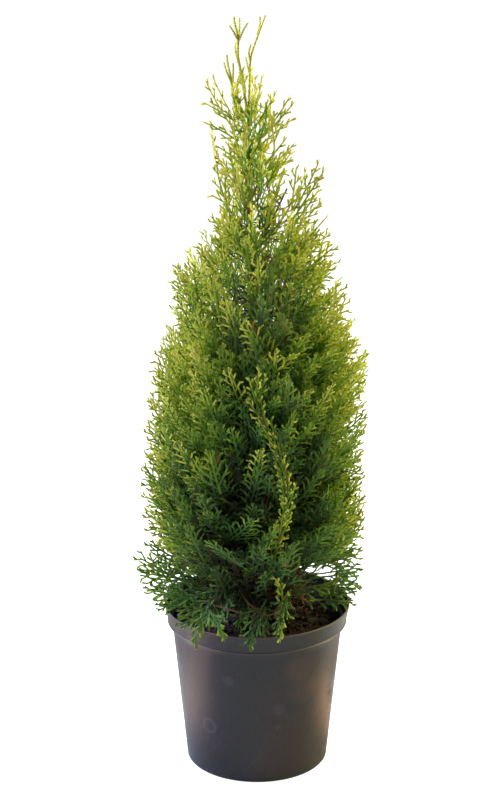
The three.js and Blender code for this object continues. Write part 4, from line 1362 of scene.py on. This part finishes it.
def patches_group():
    """Patches: noise at a scale, stretched along the height, cut to a mask by two limits."""
    group = bpy.data.node_groups.new("patches", "ShaderNodeTree")
    for label, kind, value in (
            ("Vector", "NodeSocketVector", (0.0, 0.0, 0.0)), ("Scale", "NodeSocketFloat", 10.0),
            ("Stretch", "NodeSocketVector", (1.0, 1.0, 1.0)), ("From", "NodeSocketFloat", 0.45),
            ("To", "NodeSocketFloat", 0.65)):
        socket = group.interface.new_socket(name=label, in_out="INPUT", socket_type=kind)
        socket.default_value = value
    group.interface.new_socket(name="Mask", in_out="OUTPUT", socket_type="NodeSocketFloat")
    given = group.nodes.new("NodeGroupInput").outputs
    stretch = group.nodes.new("ShaderNodeVectorMath")
    stretch.operation = "MULTIPLY"
    feed(group, stretch, {0: given["Vector"], 1: given["Stretch"]})
    noise = group.nodes.new("ShaderNodeTexNoise")
    feed(group, noise, {
        "Vector": stretch.outputs[0], "Scale": given["Scale"], "Detail": 5, "Roughness": 0.6})
    ramp = group.nodes.new("ShaderNodeMapRange")
    ramp.interpolation_type = "SMOOTHSTEP"
    feed(group, ramp, {
        "Value": noise.outputs["Fac"], "From Min": given["From"], "From Max": given["To"]})
    feed(group, group.nodes.new("NodeGroupOutput"), {"Mask": ramp.outputs["Result"]})
    return group


class Finish:
    """A node-based finish under making: a Principled shader, object coordinates, and helpers."""

    def __init__(self, name, patches, roughness=0.5):
        self.material = bpy.data.materials.new(name)
        self.material.use_nodes = True
        self.tree = self.material.node_tree
        self.shader = self.tree.nodes["Principled BSDF"]
        self.shader.inputs["Roughness"].default_value = roughness
        self.place = self.tree.nodes.new("ShaderNodeTexCoord").outputs["Object"]
        self.patches = patches

    def node(self, kind, inputs, **settings):
        """A new node of a kind, with its settings and inputs."""
        node = self.tree.nodes.new(f"ShaderNode{kind}")
        for name, value in settings.items():
            setattr(node, name, value)
        return feed(self.tree, node, inputs)

    def mask(self, scale, low, high, stretch=(1, 1, 1)):
        """Patches of a scale: 0 where their noise is under low, and 1 where it is over high."""
        return self.node("Group", {
            "Vector": self.place, "Scale": scale, "Stretch": stretch, "From": low, "To": high,
        }, node_tree=self.patches).outputs["Mask"]

    def maths(self, operation, *values):
        """The result of a sum on numbers or outputs."""
        return self.node("Math", dict(enumerate(values)), operation=operation).outputs[0]

    def mix(self, factor, below, above):
        """Two colours, or outputs of colour, mixed by a factor."""
        return self.node("Mix", {0: factor, 6: below, 7: above}, data_type="RGBA").outputs[2]

    def ramp(self, value, low, high):
        """1 above the high limit and 0 under the low one, rising smoothly between them."""
        return self.node("MapRange", {
            "Value": value, "From Min": low, "From Max": high,
        }, interpolation_type="SMOOTHSTEP").outputs["Result"]

    def height_band(self, low, high):
        """1 above a height and 0 under another, in metres, rising smoothly between them."""
        split = self.node("SeparateXYZ", {0: self.place})
        return self.ramp(split.outputs["Z"], low, high)

    def spot(self, x, y, z, radius, soft):
        """1 within a radius of a place, in millimetres, falling smoothly to 0 outside it."""
        middle = (x * MM, y * MM, z * MM)
        away = self.node("VectorMath", {0: self.place, 1: middle}, operation="DISTANCE")
        return self.ramp(away.outputs["Value"], (radius + soft) * MM, radius * MM)

    def bump(self, height, distance, strength=1.0):
        """Relief of a height in metres."""
        node = self.node("Bump", {"Distance": distance, "Strength": strength, "Height": height})
        self.shade_by("Normal", node.outputs["Normal"])

    def shade_by(self, label, output):
        """Links an output to the shader."""
        feed(self.tree, self.shader, {label: output})


# On the pot's wall: spots of warm dust that also stand as a painted warm reflection, and round
# rubbed marks, each with its place, radius and soft edge, and one ring with its outer and inner
# radius.
WARM_DUST_AND_REFLECTION_SPOTS = [(55, -100, 172, 9, 20), (62, -92, 138, 6, 26)]
POT_MARKS = [(-39, -105, 156, 4, 6), (29, -104, 113, 5, 6), (28, -102, 86, 1, 6)]
POT_RING = (-65, -82, 79)
POT_RING_RADII = (10, 6)


def pot_finish(patches):
    """Charcoal moulded plastic with a film of warm dust, spots of dust and painted warm reflection,
    rubbed smudges, and painted highlights along the rim's top and the band's foot.
    """
    finish = Finish("pot_plastic", patches)
    film = finish.mask(7.5, 0.46, 0.66, (1, 1, 0.8))
    smudge = finish.mask(34, 0.58, 0.7)
    specks = finish.mask(240, 0.62, 0.72)
    base = finish.mix(smudge, shade(6, 8, 24), shade(25, 26, 35))
    outer, inner = (finish.spot(*POT_RING, radius, 4) for radius in POT_RING_RADII)
    # Thin lighter bands at the rim's top and along the band's foot are painted highlights of the
    # rounded edges.
    edge = finish.height_band(POT_TOP * MM - 0.003, POT_TOP * MM - 0.0005)
    band_foot_highlight = finish.maths(
        "SUBTRACT", finish.height_band(BAND_FOOT * MM - 0.0008, BAND_FOOT * MM),
        finish.height_band(BAND_FOOT * MM + 0.0014, BAND_FOOT * MM + 0.0024))
    # Warm spots: partly dust and partly a painted warm reflection of the lamps.
    coats = [(finish.spot(*place), 0.34, shade(84, 56, 48)) for place in WARM_DUST_AND_REFLECTION_SPOTS]
    coats += [(finish.spot(*place), 0.2, shade(84, 84, 90)) for place in POT_MARKS]
    coats += [
        (finish.maths("SUBTRACT", outer, inner), 0.22, shade(84, 84, 96)),
        (film, 0.4, shade(72, 50, 44)),
        (specks, 0.3, shade(92, 80, 72)),
        # The painted highlights of the rim's top and the band's foot.
        (finish.maths("ADD", edge, band_foot_highlight), 0.4, shade(128, 112, 106)),
    ]
    for mask, cover, colour in coats:
        base = finish.mix(finish.maths("MULTIPLY", mask, cover), base, colour)
    finish.shade_by("Base Color", base)
    rough = finish.maths("MULTIPLY_ADD", smudge, 0.16, 0.34)
    finish.shade_by("Roughness", finish.maths("MULTIPLY_ADD", film, 0.2, rough))
    finish.bump(finish.mask(420, 0.3, 0.7), 0.00025, 0.5)
    return finish.material


def soil_finish(patches):
    """Moist dark compost: near black, with browner crumbs."""
    finish = Finish("soil_compost", patches, 0.95)
    crumbs = finish.mask(260, 0.45, 0.62)
    clods = finish.mask(60, 0.42, 0.66)
    brown = finish.mix(clods, shade(17, 13, 11), shade(32, 23, 19))
    finish.shade_by("Base Color", finish.mix(crumbs, brown, shade(42, 30, 24)))
    finish.bump(finish.mask(300, 0.3, 0.7), 0.0012)
    return finish.material


def bark_finish(patches):
    """Thin fibrous bark: reddish brown strips over a darker ground, with grey on the old wood."""
    finish = Finish("bark_fibres", patches, 0.85)
    strips = finish.mask(420, 0.4, 0.6, (1, 1, 0.09))
    weathered = finish.mask(45, 0.5, 0.72, (1, 1, 0.4))
    red = finish.mix(strips, shade(74, 46, 32), shade(132, 84, 58))
    grey = finish.mix(finish.maths("MULTIPLY", weathered, 0.5), red, shade(120, 102, 86))
    finish.shade_by("Base Color", grey)
    finish.bump(strips, 0.0006)
    return finish.material


patches = patches_group()
# Leaf colours from the darkest to the palest, then rust. Sprays are dealt them partly by place, so
# the darker ones also stand as painted shade and the paler ones as painted light.
LEAF_COLOURS = [
    ("shade", (55, 54, 36)), ("deep", (47, 75, 37)), ("green", (70, 112, 46)),
    ("fresh", (98, 139, 38)), ("bright", (146, 171, 48)), ("pale", (205, 203, 86)),
    ("rust", (138, 86, 42)),
]
LEAF_FINISHES = [leaf_finish(f"leaf_{name}", shade(*colour)) for name, colour in LEAF_COLOURS]
WOOD_FINISHES = [
    bark_finish(patches), plain_finish("twig_red", shade(118, 72, 48), 0.8),
    LEAF_FINISHES[FRESH], LEAF_FINISHES[PALE],
]
LITTER_COLOURS = [
    ("black", (20, 15, 13), 0.95), ("brown", (40, 28, 22), 0.9), ("red", (86, 48, 34), 0.85),
    ("straw", (104, 76, 54), 0.85),
]
LITTER_FINISHES = [
    plain_finish(f"litter_{name}", shade(*colour), roughness, 0.2)
    for name, colour, roughness in LITTER_COLOURS]

# ---- The plant and its pot ----------------------------------------------------------------

# The pot's inner wall is near black as painted shade.
make_pot(pot_finish(patches), plain_finish("pot_inside_painted_shade", shade(9, 9, 10), 0.85, 0.15))
make_soil(soil_finish(patches))
make_litter(LITTER_FINISHES)

cells = make_cells()
grow_trunk(WOOD_FINISHES)
grow_boughs(cells, WOOD_FINISHES)

wood_of = {}
for cell in cells:
    if cell["tier"] == "leader":
        leaves = grow_leaders()
    else:
        leaves, wood = grow_mass(cell)
        wood_of.setdefault(cell["tier"], []).append(wood)
    points, faces, tones = leaves
    piece = put_mesh(f"sprays_{cell['name']}", points + [0, 0, FOOT], faces, LEAF_FINISHES, tones)
    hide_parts(f"foliage_{cell['name']}")
for tier, parts in wood_of.items():
    points, faces, tones = joined(parts)
    piece = put_mesh(f"twigs_{tier}", points + [0, 0, FOOT], faces, WOOD_FINISHES, tones)

# ---- Floor, light and camera --------------------------------------------------------------

FLOOR_HALF = 30
FLOOR_LEVEL = -0.0005


def lit_white(tree, dim, node, label):
    """White where it is seen, and a dim colour as a light on the object."""
    seen = tree.nodes.new("ShaderNodeLightPath")
    mix = tree.nodes.new("ShaderNodeMix")
    mix.data_type = "RGBA"
    feed(tree, mix, {0: seen.outputs["Is Camera Ray"], 6: (*dim, 1), 7: (1, 1, 1, 1)})
    feed(tree, node, {label: mix.outputs[2]})


floor_mesh = bpy.data.meshes.new("floor")
floor_mesh.from_pydata([
    (x * FLOOR_HALF, y * FLOOR_HALF, FLOOR_LEVEL) for x, y in ((-1, -1), (1, -1), (1, 1), (-1, 1))
], [], [(0, 1, 2, 3)])
floor = bpy.data.objects.new("floor", floor_mesh)
bpy.context.scene.collection.objects.link(floor)
paper = plain_finish("floor_paper", (0.45, 0.45, 0.45, 1), 0.9, **{"Emission Strength": 1.0})
lit_white(
    paper.node_tree, (0.16, 0.17, 0.19), paper.node_tree.nodes["Principled BSDF"],
    "Emission Color")
floor_mesh.materials.append(paper)

world = bpy.data.worlds.new("studio")
bpy.context.scene.world = world
world.use_nodes = True
lit_white(world.node_tree, (0.165, 0.17, 0.2), world.node_tree.nodes["Background"], "Color")

# Square soft lights: name, place, what they face, size, power, colour and spread in degrees.
SOFTBOXES = [
    ("left_box", (-2.0, 0.5, 1.7), (0, 0, 0.75), 1.4, 118, (0.94, 1, 1.32), 180),
    ("right_box", (2.0, 0.55, 1.6), (0, 0, 0.75), 1.4, 112, (1, 0.93, 0.42), 180),
    ("top_box", (0.0, 0.5, 2.9), (0, 0, 0.6), 1.2, 30, (1, 1, 0.96), 180),
    ("left_floor_box", (-0.42, -0.05, 0.4), (-0.31, -0.03, 0), 0.2, 0.68, (1, 0.62, 0.44), 24),
    ("right_floor_box", (0.31, 0.09, 0.3), (0.231, 0.045, 0), 0.06, 0.5, (1, 0.46, 0.18), 20),
]
for name, place, aim, size, power, colour, spread in SOFTBOXES:
    lamp = bpy.data.lights.new(name, "AREA")
    lamp.color = colour
    lamp.spread = math.radians(spread)
    lamp.size = size
    lamp.energy = power
    holder = bpy.data.objects.new(name, lamp)
    holder.visible_camera = False
    x, y, z = np.subtract(aim, place)
    holder.location = place
    holder.rotation_euler = (math.atan2(math.hypot(x, y), -z), 0, math.atan2(-x, y))
    bpy.context.scene.collection.objects.link(holder)

camera_data = bpy.data.cameras.new("camera")
camera_data.lens = 97.6
camera_data.sensor_width = 36
camera = bpy.data.objects.new("camera", camera_data)
camera.location = (-0.0077, -2.766, 1.390)
camera.rotation_euler = (math.radians(72.5), 0, 0)
bpy.context.scene.collection.objects.link(camera)
bpy.context.scene.camera = camera
bpy.context.scene.view_settings.view_transform = "Standard"
